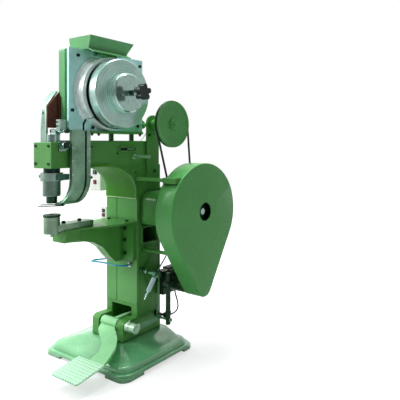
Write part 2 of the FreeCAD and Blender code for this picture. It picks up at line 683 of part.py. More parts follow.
def drive_belts():
    """V-belt from the motor to the flywheel and flat feed belt to the hopper."""
    gap = free_gap
    mid = wheel_x0 + wheel_w / 2
    out = []
    for c, r, x, w, t in (
            ([(crank_y, crank_z), (crank_y, motor_z)], [wheel_r, motor_pulley_r], mid, vbelt_w, vbelt_t),
            ([(up_y, up_z), (drum_y, drum_z)], [feed_r, drum_feed_r], feed_x, feed_w, feed_t)):
        inner = [v + gap for v in r]
        outer = [v + t for v in inner]
        b = loop(c, outer, x - w / 2, x + w / 2)
        out.append(b.cut(loop(c, inner, x - w, x + w)))
    return out


def motor_mount():
    x1 = motor_x0
    block = box(col_half, x1 - mount_plate_t, mount_y0, mount_y1, mount_z0, mount_z1)
    m = mount_margin
    plate = box(x1 - mount_plate_t, x1, mount_y0, mount_plate_y1,
                motor_z - motor_r + m, motor_z + motor_r - m)
    plate = fillet(plate, 8, lambda m, e: along(e, X))
    web = box(col_half, x1 - mount_plate_t, mount_y0, col_back, mount_z0, mount_z1)
    return fuse([block, plate, web])


def junction_box():
    x1 = motor_x0 - mount_plate_t - 1
    b = box(x1 - jbox_t, x1, mount_y1, mount_y1 + jbox_len, mount_z0, mount_z0 + jbox_h)
    return fillet(b, 4, lambda m, e: m.y > mount_y1 + 1 and along(e, X))


def guard_prism(grow, x0, x1):
    return loop([(guard_y, guard_z), (guard_y, motor_z - foot_drop)],
                [guard_r + grow, guard_r2 + grow], x0, x1)


def belt_guard():
    w = guard_wall
    solid = guard_prism(0, guard_back, guard_front)
    solid = fillet(solid, 5, lambda m, e: abs(m.x - guard_front) < 0.01)
    solid = solid.cut(guard_prism(-w, guard_back - 1, guard_front - w))
    return solid.cut(xrod(crank_y, crank_z, guard_hole_r, guard_front - w - 1, guard_front + 1))


def tie_rods():
    """Two stay rods from the column to the guard, with the lugs they end on."""
    up = xrod(tie_up_y, tie_up_z, tie_r, col_half, guard_back + 12)
    foot = xrod(tie_up_y + 8, tie_up_z, tie_r * 1.6, col_half, col_half + 6)
    lug = box(guard_back + 8, guard_front - 12, tie_up_y - 14, tie_up_y + 50,
              tie_up_z - 12, tie_up_z + 12)
    lug = lug.cut(guard_prism(0, 0, guard_front + 50))
    low = xrod(tie_lo_y, tie_lo_z, tie_r, col_half, guard_back + 14)
    foot2 = xrod(tie_lo_y, tie_lo_z, tie_r * 1.6, col_half, col_half + 6)
    tab = box(guard_back + 8, guard_back + 24, tie_lo_y - 60, tie_lo_y + 12,
              tie_lo_z - 12, tie_lo_z + 12)
    tab = tab.common(guard_prism(-guard_wall, 0, guard_front))
    return [fuse([up, foot, lug]), fuse([low, foot2, tab])]


def drive_housing():
    x0, x1, w = col_half, col_half + housing_out, housing_wall
    prof = [(housing_y0, housing_z0), (housing_y1, housing_z0), (housing_y1, housing_z1),
            (housing_y0, housing_z1)]
    radii = [10, 10, 20, housing_r]
    solid = side(prof, radii, x0, x1)
    prof2 = [(housing_y0 + w, housing_z0 + w), (housing_y1 - w, housing_z0 + w),
             (housing_y1 - w, housing_z1 - w), (housing_y0 + w, housing_z1 - w)]
    solid = solid.cut(side(prof2, [6, 6, 15, housing_r - w], x0 - 1, x1 - w))
    return solid.cut(xrod(crank_y, crank_z, hub_r + 8, x1 - w - 1, x1 + 1))


def mast_strap():
    x0 = col_half
    solid = side([(mast_y0, mast_z0), (mast_y1, mast_z0), (mast_y1, mast_z1), (mast_y0, mast_z1)],
                 [8, 8, 36, 36], x0, x0 + mast_t)
    bearing = xrod(up_y, up_z, 24, x0 + mast_t, belt_x - 30)
    solid = fuse([solid, bearing])
    solid = solid.cut(xrod(up_y, up_z, up_shaft_r + run_gap, x0 - 1, belt_x))
    return solid


# ---- hopper ----------------------------------------------------------------------------------
def spacer_points():
    return [(tray_y0 + 33, tray_top() - 28), (tray_y1 - 13, tray_top() - 28),
            (tray_y0 + 33, plate_z0 + 80), (tray_y1 - 26, plate_z0 + 27)]


def tray_top():
    return plate_z1


def hopper_mounting_plate():
    """Flanged casting with its rim towards -X, and the spacers to the hopper plate."""
    solid = box(tray_x0, tray_x1, tray_y0, tray_y1, plate_z0, plate_z1)
    w = tray_web
    solid = fillet(solid, 10, lambda m, e: along(e, X) and m.z > plate_z0 + 1)
    solid = solid.cut(box(tray_x0 - 1, tray_x1 - w, tray_y0 + w, tray_y1 - w,
                          plate_z0 + w, plate_z1 - w))
    solid = solid.cut(xrod(drum_y, drum_z, hub_shaft_r + run_gap, tray_x0 - 1, tray_x1 + 1))
    return solid


def hopper_spacers():
    return [xrod(y, z, spacer_r, tray_x1, plate_x0) for y, z in spacer_points()]


def hopper_plate():
    x1 = plate_x0 + plate_t
    solid = box(plate_x0, x1, plate_y0, plate_y1, plate_z0, plate_z1)
    bowl = xrod(drum_y, drum_z, bowl_r, x1, x1 + bowl_len)
    bowl = bowl.cut(xrod(drum_y, drum_z, bowl_r - bowl_wall, x1 + bowl_wall, x1 + bowl_len + 1))
    solid = fuse([solid, bowl, bowl_cover()])
    solid = solid.cut(xrod(drum_y, drum_z, hub_shaft_r + run_gap, plate_x0 - 1, x1 + bowl_wall + 1))
    a = math.radians(cover_a1)
    c, s = math.cos(a), math.sin(a)
    r0, r1, h = bowl_r - bowl_wall - 1, bowl_r + cover_rise + 1, bowl_slot
    slot = side([(drum_y + r0 * c, drum_z + r0 * s), (drum_y + r1 * c, drum_z + r1 * s),
                 (drum_y + r1 * c - h * s, drum_z + r1 * s + h * c),
                 (drum_y + r0 * c - h * s, drum_z + r0 * s + h * c)],
                0, x1 + bowl_wall, x1 + bowl_len + cover_lip + 1)
    solid = solid.cut(slot).cut(chute_groove())
    # chute mouth from the filling bin into the top of the bowl
    cx = x1 + bowl_len / 2
    return solid.cut(box(cx - 12, cx + 12, chute_y0 + 20, chute_y1 - 6,
                         drum_z + bowl_r - bowl_wall - 16, drum_z + bowl_r + 1))


def bowl_cover():
    """Thick guard over the front of the bowl, from the chute round to the raceway."""
    x1 = plate_x0 + plate_t
    x2, r = x1 + bowl_len + cover_lip, bowl_r + cover_rise
    prof = [(x1, bowl_r - bowl_wall), (x1, r), (x1 + 9, r), (x1 + 13, r - 6), (x2 - 2, r - 11),
            (x2, r - 13), (x2, bowl_r - bowl_wall)]
    ring = turned(prof, drum_y, drum_z)
    reach = 1.8 * bowl_r
    fan = [(drum_y, drum_z)]
    for i in range(4):
        a = math.radians(cover_a0 + (cover_a1 - cover_a0) * i / 3)
        fan.append((drum_y + reach * math.cos(a), drum_z + reach * math.sin(a)))
    return ring.common(side(fan, 0, x1 - 1, x2 + 1))


def chute_groove():
    """Groove in the plate that leads the eyelets from the bowl's split to the raceway."""
    a, b = track_y + slot_side, track_y + slot_side + slot_w
    z, x = plate_z0, plate_x0 + plate_t
    low, high = z + 28, z + 52
    return side([(a, z - 1), (b, z - 1), (b, low), (b + 8, low + 9), (b + 8, high), (a + 8, high),
                 (a + 8, low + 12), (a, low + 3)], 0, x - 5, x + 1)


def plate_screws():
    x = plate_x0 + plate_t
    out = []
    front, back, _, low = spacer_points()
    for y, z in (front, back, low, (plate_y0 + 16, plate_z0 + 81), (plate_y0 + 113, plate_z0 + 14)):
        s = xrod(y, z, 6.5, x, x + 5)
        out.append(s.cut(xrod(y, z, 3, x + 2, x + 6)))
    return out


def drum_shell():
    """Turning front of the hopper: a neck inside the bowl, the drum wall and the stepped boss."""
    w = drum_wall
    x_in = plate_x0 + plate_t + bowl_wall + 4
    prof = [(x_in, neck_r - w), (x_in, neck_r), (drum_x0, neck_r), (drum_x0, drum_r - 2),
            (drum_x0 + 2, drum_r), (drum_x1 - 3, drum_r), (drum_x1, drum_r - 3), (drum_x1, boss_r),
            (boss_x1 - 15, boss_r), (boss_x1 - 13, boss_r - 3), (boss_x1 - 5, boss_r - 3),
            (boss_x1, boss_r - 8), (boss_x1, hub_shaft_r),
            (drum_x1 - w, hub_shaft_r), (drum_x1 - w, neck_r - w)]
    return turned(prof, drum_y, drum_z)


def rotor_shaft():
    x0 = feed_x - feed_w / 2 - 5
    shaft = xrod(drum_y, drum_z, hub_shaft_r, tray_x0 - 12, nut_x0)
    parts = [shaft, xrod(drum_y, drum_z, drum_feed_r, x0 + 4, feed_x + feed_w / 2 + 1),
             xrod(drum_y, drum_z, nut_r, nut_x0, nut_x1),
             xrod(drum_y, drum_z, 7.0, nut_x1, knob_x0 + 2)]
    return fuse(parts)


def star_knob():
    core = xrod(drum_y, drum_z, knob_r * 0.62, knob_x0, knob_x1)
    parts = [core]
    for i in range(knob_lobes):
        a = 2 * math.pi * i / knob_lobes + math.pi / 2
        c = knob_r * 0.66
        parts.append(xrod(drum_y + c * math.cos(a), drum_z + c * math.sin(a),
                          knob_r * 0.34, knob_x0, knob_x1))
    solid = fuse(parts)
    return solid.cut(xrod(drum_y, drum_z, 7.0, knob_x0 - 1, knob_x0 + 2))


def hopper_bin():
    z0, z1, w = plate_z1, plate_z1 + bin_h, bin_wall
    fx, fy = bin_flare_x, bin_flare_y

    def shell(inset, za, zb):
        low = [V(x, y, za) for x, y in rect(bin_x0 + inset, bin_x1 - inset,
                                            bin_y0 + inset, bin_y1 - inset)]
        high = [V(x, y, zb) for x, y in rect(bin_x0 + inset - 5, bin_x1 + fx - inset,
                                             bin_y0 + inset - 4, bin_y1 + fy - inset)]
        return Part.makeLoft([outline(low, 0), outline(high, 0)], True, True)
    solid = shell(0, z0, z1).cut(shell(w, z0 + w, z1 + 0.01))
    x1 = plate_x0 + plate_t
    cx = x1 + bowl_len / 2
    spout = box(cx - 16, cx + 16, chute_y0, chute_y1, z0 - chute_drop, z0 + w)
    lip = slab([V(bin_x1 - w, bin_y0, z0), V(bin_x1, bin_y0, z0), V(bin_x1 + 30, bin_y0, z0 - 16),
                V(bin_x1 + 30, bin_y0, z0 - 16 + w), V(bin_x1 - w, bin_y0, z0 + w + 2)],
               0, V(0, bin_y1 - bin_y0, 0))
    solid = fuse([solid, spout, lip])
    return solid.cut(box(cx - 12, cx + 12, chute_y0 + 4, chute_y1 - 4,
                         z0 - chute_drop - 1, z0 + w + 1))


def hopper_ledge():
    z1 = plate_z0
    solid = box(ledge_x0 - 25, ledge_x1, ledge_y0, ledge_y1, z1 - ledge_h, z1)
    solid = fillet(solid, 5, lambda m, e: along(e, Z))
    posts = [box(ledge_x0 + 25, ledge_x0 + 25 + post_t, y - post_half, y + post_half, arm_top, z1 - ledge_h)
             for y in (post_y1, post_y2)]
    return fuse([solid] + posts)


def ledge_screws():
    """Studs with nuts under the ledge."""
    z, x, out = plate_z0 - ledge_h, ledge_x1 - 16, []
    for y in (ledge_y0 + 12, ledge_y0 + 46, post_y2 + 26):
        out.append(rod((x, y, z), -Z, 7, 5).fuse(rod((x, y, z), -Z, 4, 10)))
    return out


def support_bar():
    y = tool_y - 15
    z0 = arm_z0 + head_h
    solid = box(bar_x0, bar_x1 - 16, y, y + bar_t, z0, bar_top)
    t = bar_t
    top = slab([V(bar_x0, y, bar_top), V(bar_x0, y + t, bar_top), V(bar_x0, tray_y0, bar_top + 62),
                V(bar_x0, tray_y0 - t, bar_top + 62)], 0, V(bar_x1 - 16 - bar_x0, 0, 0))
    solid = fuse([solid, top])
    return solid.cut(rod((bar_x0 + 18, y - 1, bar_top - 30), Y, 6, t + 2))


def gusset():
    x = bar_x1 - 16
    y = tool_y - 15
    pts = [(y, arm_z0 + head_h + 58), (tray_y0, plate_z0 + 10), (tray_y0, bar_top + 58),
           (y, bar_top - 2)]
    solid = side(pts, 0, x, x + 8)
    pad = box(x, tray_x0 + 14, tray_y0 - 8, tray_y0, plate_z0 + 20, bar_top + 40)
    bolt = xrod(tool_y + 12, bar_top - 14, 7, x + 8, x + 14)
    return fuse([solid, pad, bolt])


# ---- raceway ---------------------------------------------------------------------------------
def track_frames():
    """Centre, across and facing directions down the raceway; it bends towards the tool axis."""
    d = (V(0, tool_y, 0) - V(track_x, track_y, 0)).normalize()
    w = V(0, 1, 0)
    drop = track_bend_z - tongue_z
    out = [(V(track_x, track_y, plate_z0), X), (V(track_x, track_y, (plate_z0 + track_bend_z) / 2), X),
           (V(track_x, track_y, track_bend_z), X)]
    steps = 6
    for i in range(1, steps + 1):
        a = math.pi / 2 * i / steps
        c = V(track_x, track_y, track_bend_z) + d * (track_run * (1 - math.cos(a)))
        c.z = track_bend_z - drop * math.sin(a)
        t = V(0, 0, -drop) * math.cos(a) + d * (track_run * math.sin(a))
        out.append((c, t.cross(w).normalize()))
    out.append((out[-1][0] + d * track_flat, out[-1][1]))
    return out, d, w


def raceway_track():
    frames, d, w = track_frames()
    sections = []
    last = len(frames) - 1
    h, p = track_w / 2, slot_side
    q, t = p + slot_w, track_t / 2
    for i, (c, n) in enumerate(frames):
        r = t + rail_h + (rail_end - rail_h) * min(max(0, i - 2) / (last - 3), 1)
        pts = [c - w * h - n * t, c + w * h - n * t, c + w * h + n * r, c + w * q + n * r,
               c + w * q + n * t, c + w * p + n * t, c + w * p + n * r, c - w * h + n * r]
        sections.append(Part.makePolygon(pts + [pts[0]]))
    relief = rod((0, tool_y, tongue_z - 40), Z, holder_r + free_gap, 80)
    return Part.makeLoft(sections, True, True).cut(relief)


def raceway_fork():
    """Thin fork that holds the eyelet under the punch and lets the punch pass."""
    frames, d, _ = track_frames()
    start = frames[-1][0]
    w = V(-d.y, d.x, 0)
    o = V(0, tool_y, start.z)
    z0 = start.z - track_t / 2 - rail_end - fork_t
    o.z = z0
    back = (o - V(start.x, start.y, z0)).Length + track_flat - 1
    h, s = tongue_w / 2, punch_r + fork_gap
    pts = [o - d * back - w * h, o - d * back + w * h, o + d * fork_tip + w * h,
           o + d * fork_tip - w * h]
    plate = slab(pts, [4, 4, 3, 3], V(0, 0, fork_t))
    slot = slab([o - w * s, o + w * s, o + d * (fork_tip + 9) + w * s, o + d * (fork_tip + 9) - w * s],
                0, V(0, 0, fork_t + 2))
    slot.translate(V(0, 0, -1))
    hole = Part.makeCylinder(s, fork_t + 2, o - V(0, 0, 1), Z)
    return plate.cut(slot).cut(hole)


# ---- anvil -----------------------------------------------------------------------------------
def anvil_bracket():
    z1 = holder_z0
    t = bracket_top_t
    b, f = bracket_half, flare_half
    top = plan([(-b, bracket_front), (b, bracket_front), (b, flare_y0), (f, flare_y0 + 150),
                (f, col_front), (-f, col_front), (-f, flare_y0 + 150), (-b, flare_y0)],
               [8, 8, 60, 60, 0, 0, 60, 60], z1 - t, z1)
    web = side([(bracket_front, z1 - t), (bracket_front, z1 - 50), (-220.0, z1 - 60), (-168.0, z1 - 72),
                (-118.0, z1 - 104), (-84.0, z1 - 146), (-50.0, bracket_z0), (col_front, bracket_z0),
                (col_front, z1 - t)], [0, 4, 30, 60, 60, 40, 10, 0, 0], -bracket_web, bracket_web)
    nose = box(-b, b, bracket_front, bracket_front + 70, z1 - 50, z1 - t)
    nose = fillet(nose, 8, lambda m, e: abs(m.z - z1 + 50) < 0.01 and along(e, Y))
    flange = box(-f + 5, f - 5, col_front - 18, col_front, bracket_z0, z1 - t)
    flange = fillet(flange, 12, lambda m, e: along(e, Y) and m.z < bracket_z0 + 1)
    return fuse([top, web, nose, flange])


def anvil_screws():
    y = col_front - 18
    out = []
    for x in (-46.0, 46.0):
        for z in (holder_z0 - 35, holder_z0 - 85, bracket_z0 + 35):
            s = rod((x, y, z), -Y, 8, 8)
            out.append(s.cut(rod((x, y - 9, z), Y, 4, 5)))
    for x in (-60.0, 60.0):
        out.append(rod((x, y - 4, holder_z0), Z, 8, 7))
    return out


def anvil_holder():
    h = holder_half
    bar = box(-h, h, tool_y, holder_y1, holder_z0, holder_z1)
    bar = fillet(bar, 4, lambda m, e: along(e, Z) and m.y > tool_y + 1)
    solid = bar.cut(rod((0, tool_y, holder_z0 - 1), Z, post_r, holder_z1 - holder_z0 + 2))
    for y in (holder_screw_y, holder_y1 - 50):
        solid = fuse([solid, rod((0, y, holder_z1), Z, 8, 9)])
        solid = solid.cut(rod((0, y, holder_z1 + 4), Z, 4, 6))
    return solid


def anvil_post():
    z1 = anvil_top - disc_h
    z0 = holder_z0 - 7
    post = rod((0, tool_y, z0), Z, post_r, z1 - z0)
    post = fillet(post, 3, lambda m, e: m.z > z1 - 0.01)
    pin = rod((0, tool_y, z0 - 14), Z, 6, 14)
    return fuse([post, pin])


def anvil_disc():
    z0 = anvil_top - disc_h
    disc = rod((0, tool_y, z0), Z, disc_r, disc_h)
    disc = fillet(disc, 2, lambda m, e: m.z > anvil_top - 0.01)
    return disc.cut(rod((0, tool_y, anvil_top - 3), Z, 11, 4))


# ---- pedal and its linkage -------------------------------------------------------------------
def pedal_pad():
    pts = [(pad_y0, pad_z0 - pad_t), (pad_y1, pad_z1 - pad_t), (pad_y1, pad_z1), (pad_y0, pad_z0)]
    solid = side(pts, 0, pad_x0, pad_x1)
    return fillet(solid, 12, lambda m, e: abs(m.y - pad_y0) < 0.5 and e.Length < pad_t * 1.5)


def pedal_arm():
    """Hub tube, S-shaped neck, rear arm."""
    hub = xrod(pedal_y, pedal_z, tube_r, -tube_half, tube_half)
    t, y = neck_t, pedal_y
    s = [(-tube_half + 6, y), (-tube_half + 6, y - 22), (-20.0, y - 58), (40.0, y - 92), (78.0, y - 118),
         (106.0, y - 155), (112.0, pad_y1), (pad_x1 - 6, pad_y1), (182.0, y - 162), (164.0, y - 118),
         (126.0, y - 76), (72.0, y - 40), (tube_half - 10, y - 18), (tube_half - 10, y)]
    r = [0, 10, 30, 60, 40, 40, 0, 0, 60, 50, 50, 40, 20, 0]
    sheet = plan(s, r, 0, pedal_z + tube_r)
    z_hub = pedal_z - tube_r + t
    prof = side([(y, z_hub - t), (y - 25, z_hub - t), (y - 70, z_hub - t - 12),
                 (pad_y1, pad_z1 - t), (pad_y1, pad_z1), (y - 72, z_hub - 11), (y - 27, z_hub + 1),
                 (y, z_hub + 4)], [0, 20, 40, 0, 0, 40, 20, 0], -tube_half - 10, pad_x1)
    neck = sheet.common(prof)
    rear = box(8, 30, pedal_y + 4, link_y - 12, pedal_z - 9, pedal_z + tube_r - 1)
    solid = fuse([hub, neck, rear])
    return solid.cut(xrod(pedal_y, pedal_z, shaft_r, -tube_half - 1, tube_half + 1))


def pedal_shaft():
    return xrod(pedal_y, pedal_z, shaft_r, shaft_x0, shaft_x1)


def side_lever():
    """Set collar, lever hub and the side lever that carries both link pins."""
    h = col_half + 3
    collar = xrod(pedal_y, pedal_z, shaft_r + 11, h, h + 20)
    screw = rod((h + 10, pedal_y, pedal_z + shaft_r + 9), Z, 4.5, 9)
    hub = xrod(pedal_y, pedal_z, shaft_r + 9, h + 22, shaft_x1 - 6)
    arm = side([(pedal_y, pedal_z - 13), (link_y + 11, link_z - 9), (link_y + 11, link_z + 9),
                (pedal_y, pedal_z + 13)], [0, 8, 8, 0], lever_x0, lever_x1)
    end = trip_x + trip_r + 2
    pin = xrod(link_y, link_z, 5, pull_x - 7, end)
    head = fuse([xrod(link_y, link_z, 8, lever_x1, lever_x1 + 5), xrod(link_y, link_z, 8, end, end + 5)])
    solid = fuse([collar, xrod(pedal_y, pedal_z, shaft_r + 4, h + 20, h + 22), screw, hub, arm,
                  pin, head])
    return solid.cut(xrod(pedal_y, pedal_z, shaft_r, h - 1, shaft_x1))


def pull_rod():
    a, b = V(pull_x, link_y, link_z), V(pull_x, arm_pin_y, arm_pin_z)
    d = (b - a).normalize()
    span = (b - a).Length
    body = Part.makeCylinder(pull_neck_r, span - 2 * (5 + pin_play) - 2, a + d * (5 + pin_play + 1), d)
    body = body.fuse(Part.makeCylinder(pull_r, span - 2 * pull_neck, a + d * pull_neck, d))
    eye = 5 + pin_play
    ends = [xrod(p.y, p.z, eye + 4, pull_x - 5, pull_x + 5) for p in (a, b)]
    ends.append(xrod(b.y + pin_travel, b.z, eye + 4, pull_x - 5, pull_x + 5))
    ends.append(box(pull_x - 5, pull_x + 5, b.y, b.y + pin_travel, b.z - eye - 4, b.z + eye + 4))
    solid = fuse([body] + ends)
    for y, z in ((a.y, a.z), (b.y, b.z), (b.y + pin_travel, b.z)):
        solid = solid.cut(xrod(y, z, eye, pull_x - 6, pull_x + 6))
    return solid.cut(box(pull_x - 6, pull_x + 6, b.y, b.y + pin_travel, b.z - eye, b.z + eye))


def trip_rod():
    """Upright rod on the lever's pin; it slides in the guide on the motor."""
    x, y = trip_x, link_y
    body = rod((x, y, trip_z0), Z, trip_r, trip_z1 - trip_z0)
    body = fillet(body, 2, lambda m, e: not along(e, Z) and e.Length > 5)
    body = body.fuse(rod((x, y, link_z + 24), Z, trip_r + 3, 12))
    return body.cut(xrod(y, link_z, 5 + pin_play, x - trip_r - 1, x + trip_r + 1))


def trip_guide():
    """Guide block on the motor's front and the stop over the trip rod."""
    x, y, w = trip_x, link_y, trip_r + 6
    motor_body = xrod(crank_y, motor_z, motor_r, x - 2 * w, x + 2 * w)
    block = box(x - w, x + w, y - w, crank_y - motor_r + 14, motor_z - 8, motor_z + 8)
    block = block.cut(rod((x, y, motor_z - 9), Z, trip_r + free_gap, 18))
    z = trip_z1 + trip_room
    stop = box(x - w, x + w, y - w, crank_y, z, z + 8)
    leg = box(x - w, x + w, crank_y - 30, crank_y, motor_z, z + 8)
    return [block.cut(motor_body), fuse([stop, leg]).cut(motor_body)]


def clutch_shaft():
    """Cross shaft with the arm down to the pull rod."""
    shaft = xrod(clutch_y, clutch_z, clutch_r, col_half - col_wall, hand_x + 21)
    collar = xrod(clutch_y, clutch_z, clutch_r + 6, col_half + 2, col_half + 16)
    x0, x1 = pull_x + 5 + free_gap, pull_x + 5 + free_gap + 7
    a, b = V(x0, clutch_y, clutch_z), V(x0, arm_pin_y, arm_pin_z)
    u = (b - a).normalize()
    n = V(0, -u.z, u.y)
    pts = [a - u * 14 - n * 12, b + u * 9 - n * 8, b + u * 9 + n * 8, a - u * 14 + n * 12]
    arm = slab(pts, [6, 6, 6, 6], V(x1 - x0, 0, 0))
    pin = xrod(arm_pin_y, arm_pin_z, 5, pull_x - 7, x0)
    return fuse([shaft, collar, arm, pin])


def hand_ends():
    up, down = V(hand_x, clutch_y + 66, clutch_z + 68), V(hand_x, clutch_y - 69, clutch_z - 95)
    return up, V(hand_x, clutch_y, clutch_z), down


def hand_lever():
    up, mid, down = hand_ends()
    hub = xrod(clutch_y, clutch_z, clutch_r + 8, hand_x - 10, hand_x + 10)
    parts = [hub]
    for p in (up, down):
        d = p - mid
        length = d.Length
        parts.append(Part.makeCylinder(3, length, mid, d))
    solid = fuse(parts)
    return solid.cut(xrod(clutch_y, clutch_z, clutch_r, hand_x - 11, hand_x + 22))


def lever_sleeve():
    up, mid, down = hand_ends()
    d = (down - mid).normalize()
    s = Part.makeCylinder(10, 62, mid + d * (clutch_r + 12), d)
    s = fillet(s, 2, lambda m, e: e.Length > 20 and not along(e, d))
    return s.cut(Part.makeCylinder(3, 80, mid + d * (clutch_r + 6), d))


# ---- switches --------------------------------------------------------------------------------
def switch_box(b):
    x0, x1, z0, z1 = b
    s = box(x0, x1, sw_y0, sw_y1, z0, z1)
    return fillet(s, 6, lambda m, e: not along(e, Y) and m.y > sw_y0 - 1)


def button_spots():
    x0, x1, z0, z1 = sw_up
    a, b, c, d = sw_lo
    return [("button_black", (x0 + x1) / 2, z1 - 34, key_up),
            ("button_red", (x0 + x1) / 2, z0 + 42, stop_up),
            ("key_black", (a + b) / 2, d - 23, key_lo),
            ("key_red", (a + b) / 2, c + 20, stop_lo)]


def key_block(x, z, half, grow, y0, y1):
    w, h = half[0] + grow, half[1] + grow
    pts = [V(x - w, y0, z - h), V(x + w, y0, z - h), V(x + w, y0, z + h), V(x - w, y0, z + h)]
    return slab(pts, 2, V(0, y1 - y0, 0))


def switch_body(b, spots):
    s = switch_box(b)
    for name, x, z, half in spots:
        s = s.cut(key_block(x, z, half, button_gap, sw_y0 - 1, sw_y0 + button_h + 2))
    return s


def button(spot):
    name, x, z, half = spot
    y0 = sw_y0 - button_h * 0.4
    b = key_block(x, z, half, 0, y0, y0 + button_h)
    return fillet(b, 1.2, lambda m, e: m.y < y0 + 0.01)


def switch_bracket():
    """Strip from the column's left side that carries both boxes."""
    y = sw_y1
    up_z = sw_up[2] + 36
    arm = box(sw_up[0] + 10, -col_half, y, y + 5, up_z - 14, up_z + 22)
    drop = box(sw_lo[0] + 4, sw_lo[1] + 12, y, y + 5, sw_lo[2] + 8, up_z + 22)
    foot = box(-col_half - 5, -col_half, y, y + 34, up_z - 14, up_z + 22)
    return fuse([arm, drop, foot])


# ---- hose and cable --------------------------------------------------------------------------
hose_pts = [(60, -6, 400), (60, -22, 400), (44, -36, 400), (16, -43, 401), (-22, -42, 401), (-66, -37, 400),
            (-112, -34, 397), (-157, -28, 391), (-190, -12, 385), (-206, 16, 382), (-198, 45, 381),
            (-176, 64, 382), (-156, 71, 389), (-137, 72, 394), (-121, 72, 394)]
cable_pts = [(126.0, 232.0, 240.0), (126.0, 232.0, 222.0), (132.0, 237.0, 200.0), (145.0, 232.0, 178.0),
             (161.0, 215.0, 161.0), (171.0, 190.0, 153.0), (174.0, 163.0, 151.0), (174.0, 138.0, 151.0)]


def blue_hose():
    return tube(hose_pts, hose_r)


def hose_fittings():
    x, y, z = hose_pts[0]
    a = rod((x, y, z), Y, 7, col_front - y)
    a = fuse([a, rod((x, col_front - 6, z), Y, 10, 6)])
    x, y, z = hose_pts[-1]
    b = xrod(y, z, 7, x, -col_half)
    b = fuse([b, xrod(y, z, 10, -col_half - 6, -col_half)])
    return [a, b]


def black_cable():
    return tube(cable_pts, cable_r)


def limit_switch():
    x, y, z = cable_pts[-1]
    body = box(x - 18, x + 4, y - 20, y, z - 14, z + 14)
    arm = box(col_half, x - 18, y - 15, y - 5, z - 5, z + 5)
    foot = box(col_half, col_half + 5, y - 20, y + 4, z - 16, z + 16)
    return fuse([body, arm, foot])


# ---- all pieces ------------------------------------------------------------------------------
os.makedirs("parts", exist_ok=True)

spots = button_spots()
pieces = [
    ("base_casting", base_casting), ("column_casting", column_casting),
    ("front_covers", front_covers), ("throat_casting", throat_casting),
    ("crankcase", crankcase), ("upper_arm", upper_arm),
    ("head_box", head_box), ("head_cover", head_cover),
    ("clamp_ring", lambda: [guide_sleeve(), clamp_ring()]),
    ("head_fittings", lambda: [cross_stud(), top_collar(), side_roller()]),
    ("support_bar", support_bar), ("gusset", gusset),
    ("hopper_mounting_plate", hopper_mounting_plate), ("hopper_plate", hopper_plate),
    ("hopper_bin", hopper_bin), ("hopper_ledge", hopper_ledge),
    ("raceway_track", raceway_track), ("raceway_fork", raceway_fork),
    ("anvil_bracket", anvil_bracket), ("anvil_holder", lambda: [anvil_holder(), anvil_post()]),
    ("anvil_disc", anvil_disc),
    ("motor", motor), ("motor_mount", lambda: [motor_mount()] + trip_guide()),
    ("junction_box", junction_box), ("limit_switch", limit_switch),
    ("belt_guard", belt_guard), ("tie_rods", tie_rods), ("drive_housing", drive_housing),
    ("mast_strap", mast_strap), ("round_belt", round_belt), ("drive_belts", drive_belts),
    ("crankshaft", crankshaft), ("switch_bracket", switch_bracket),
    ("switch_box_upper", lambda: switch_body(sw_up, spots[:2])),
    ("switch_box_lower", lambda: switch_body(sw_lo, spots[2:])),
    ("blue_hose", blue_hose), ("hose_fittings", hose_fittings), ("black_cable", black_cable),
    ("screws", lambda: head_screws() + plate_screws() + ledge_screws() + anvil_screws()
     + hopper_spacers() + [rocker_pin()]),
    ("pedal_pad", pedal_pad), ("pedal_arm", pedal_arm),
    ("side_lever", lambda: [pedal_shaft(), side_lever()]),
    ("pull_rod", pull_rod), ("trip_rod", trip_rod),
    ("clutch_lever", lambda: [clutch_shaft(), hand_lever()]), ("lever_sleeve", lever_sleeve),
    ("ram_spindle", ram_spindle), ("punch_holder", punch_holder), ("punch", punch),
    ("rocker_lever", rocker_lever), ("lift_rod", lift_rod),
    ("flywheel", lambda: [flywheel(), small_pulley()]), ("motor_pulley", motor_pulley),
    ("upper_pulley", lambda: [upper_pulley(), pulley_shaft()]),
    ("drum_shell", lambda: [drum_shell(), rotor_shaft()]), ("star_knob", star_knob),
]
for name, make in pieces:
    save(name, make())
for spot in spots:
    save(spot[0], button(spot))
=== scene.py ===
import math
import bpy
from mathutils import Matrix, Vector

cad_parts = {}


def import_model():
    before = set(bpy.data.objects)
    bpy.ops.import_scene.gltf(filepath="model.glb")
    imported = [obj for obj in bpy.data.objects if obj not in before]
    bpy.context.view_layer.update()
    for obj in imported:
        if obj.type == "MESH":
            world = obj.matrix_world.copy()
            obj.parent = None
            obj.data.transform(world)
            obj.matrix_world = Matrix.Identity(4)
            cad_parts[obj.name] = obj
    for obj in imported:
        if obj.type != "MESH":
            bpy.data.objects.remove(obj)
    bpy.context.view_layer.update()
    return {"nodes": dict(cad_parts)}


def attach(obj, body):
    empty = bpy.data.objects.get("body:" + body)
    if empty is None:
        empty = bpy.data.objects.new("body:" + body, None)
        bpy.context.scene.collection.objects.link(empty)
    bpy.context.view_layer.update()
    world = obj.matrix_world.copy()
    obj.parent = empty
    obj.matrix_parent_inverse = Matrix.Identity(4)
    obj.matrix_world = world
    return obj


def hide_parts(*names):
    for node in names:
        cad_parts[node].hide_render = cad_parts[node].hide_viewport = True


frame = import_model()
nodes = frame["nodes"]
scene = bpy.context.scene


# ---- helpers -----------------------------------------------------------------------------
def srgb(r, g, b):
    def lin(c):
        c /= 255.0
        return c / 12.92 if c <= 0.04045 else ((c + 0.055) / 1.055) ** 2.4
    return (lin(r), lin(g), lin(b), 1.0)


def feed(nt, socket, value):
    """Links value to socket if it is a socket itself, or else writes it there."""
    if isinstance(value, bpy.types.NodeSocket):
        nt.links.new(value, socket)
    else:
        socket.default_value = value


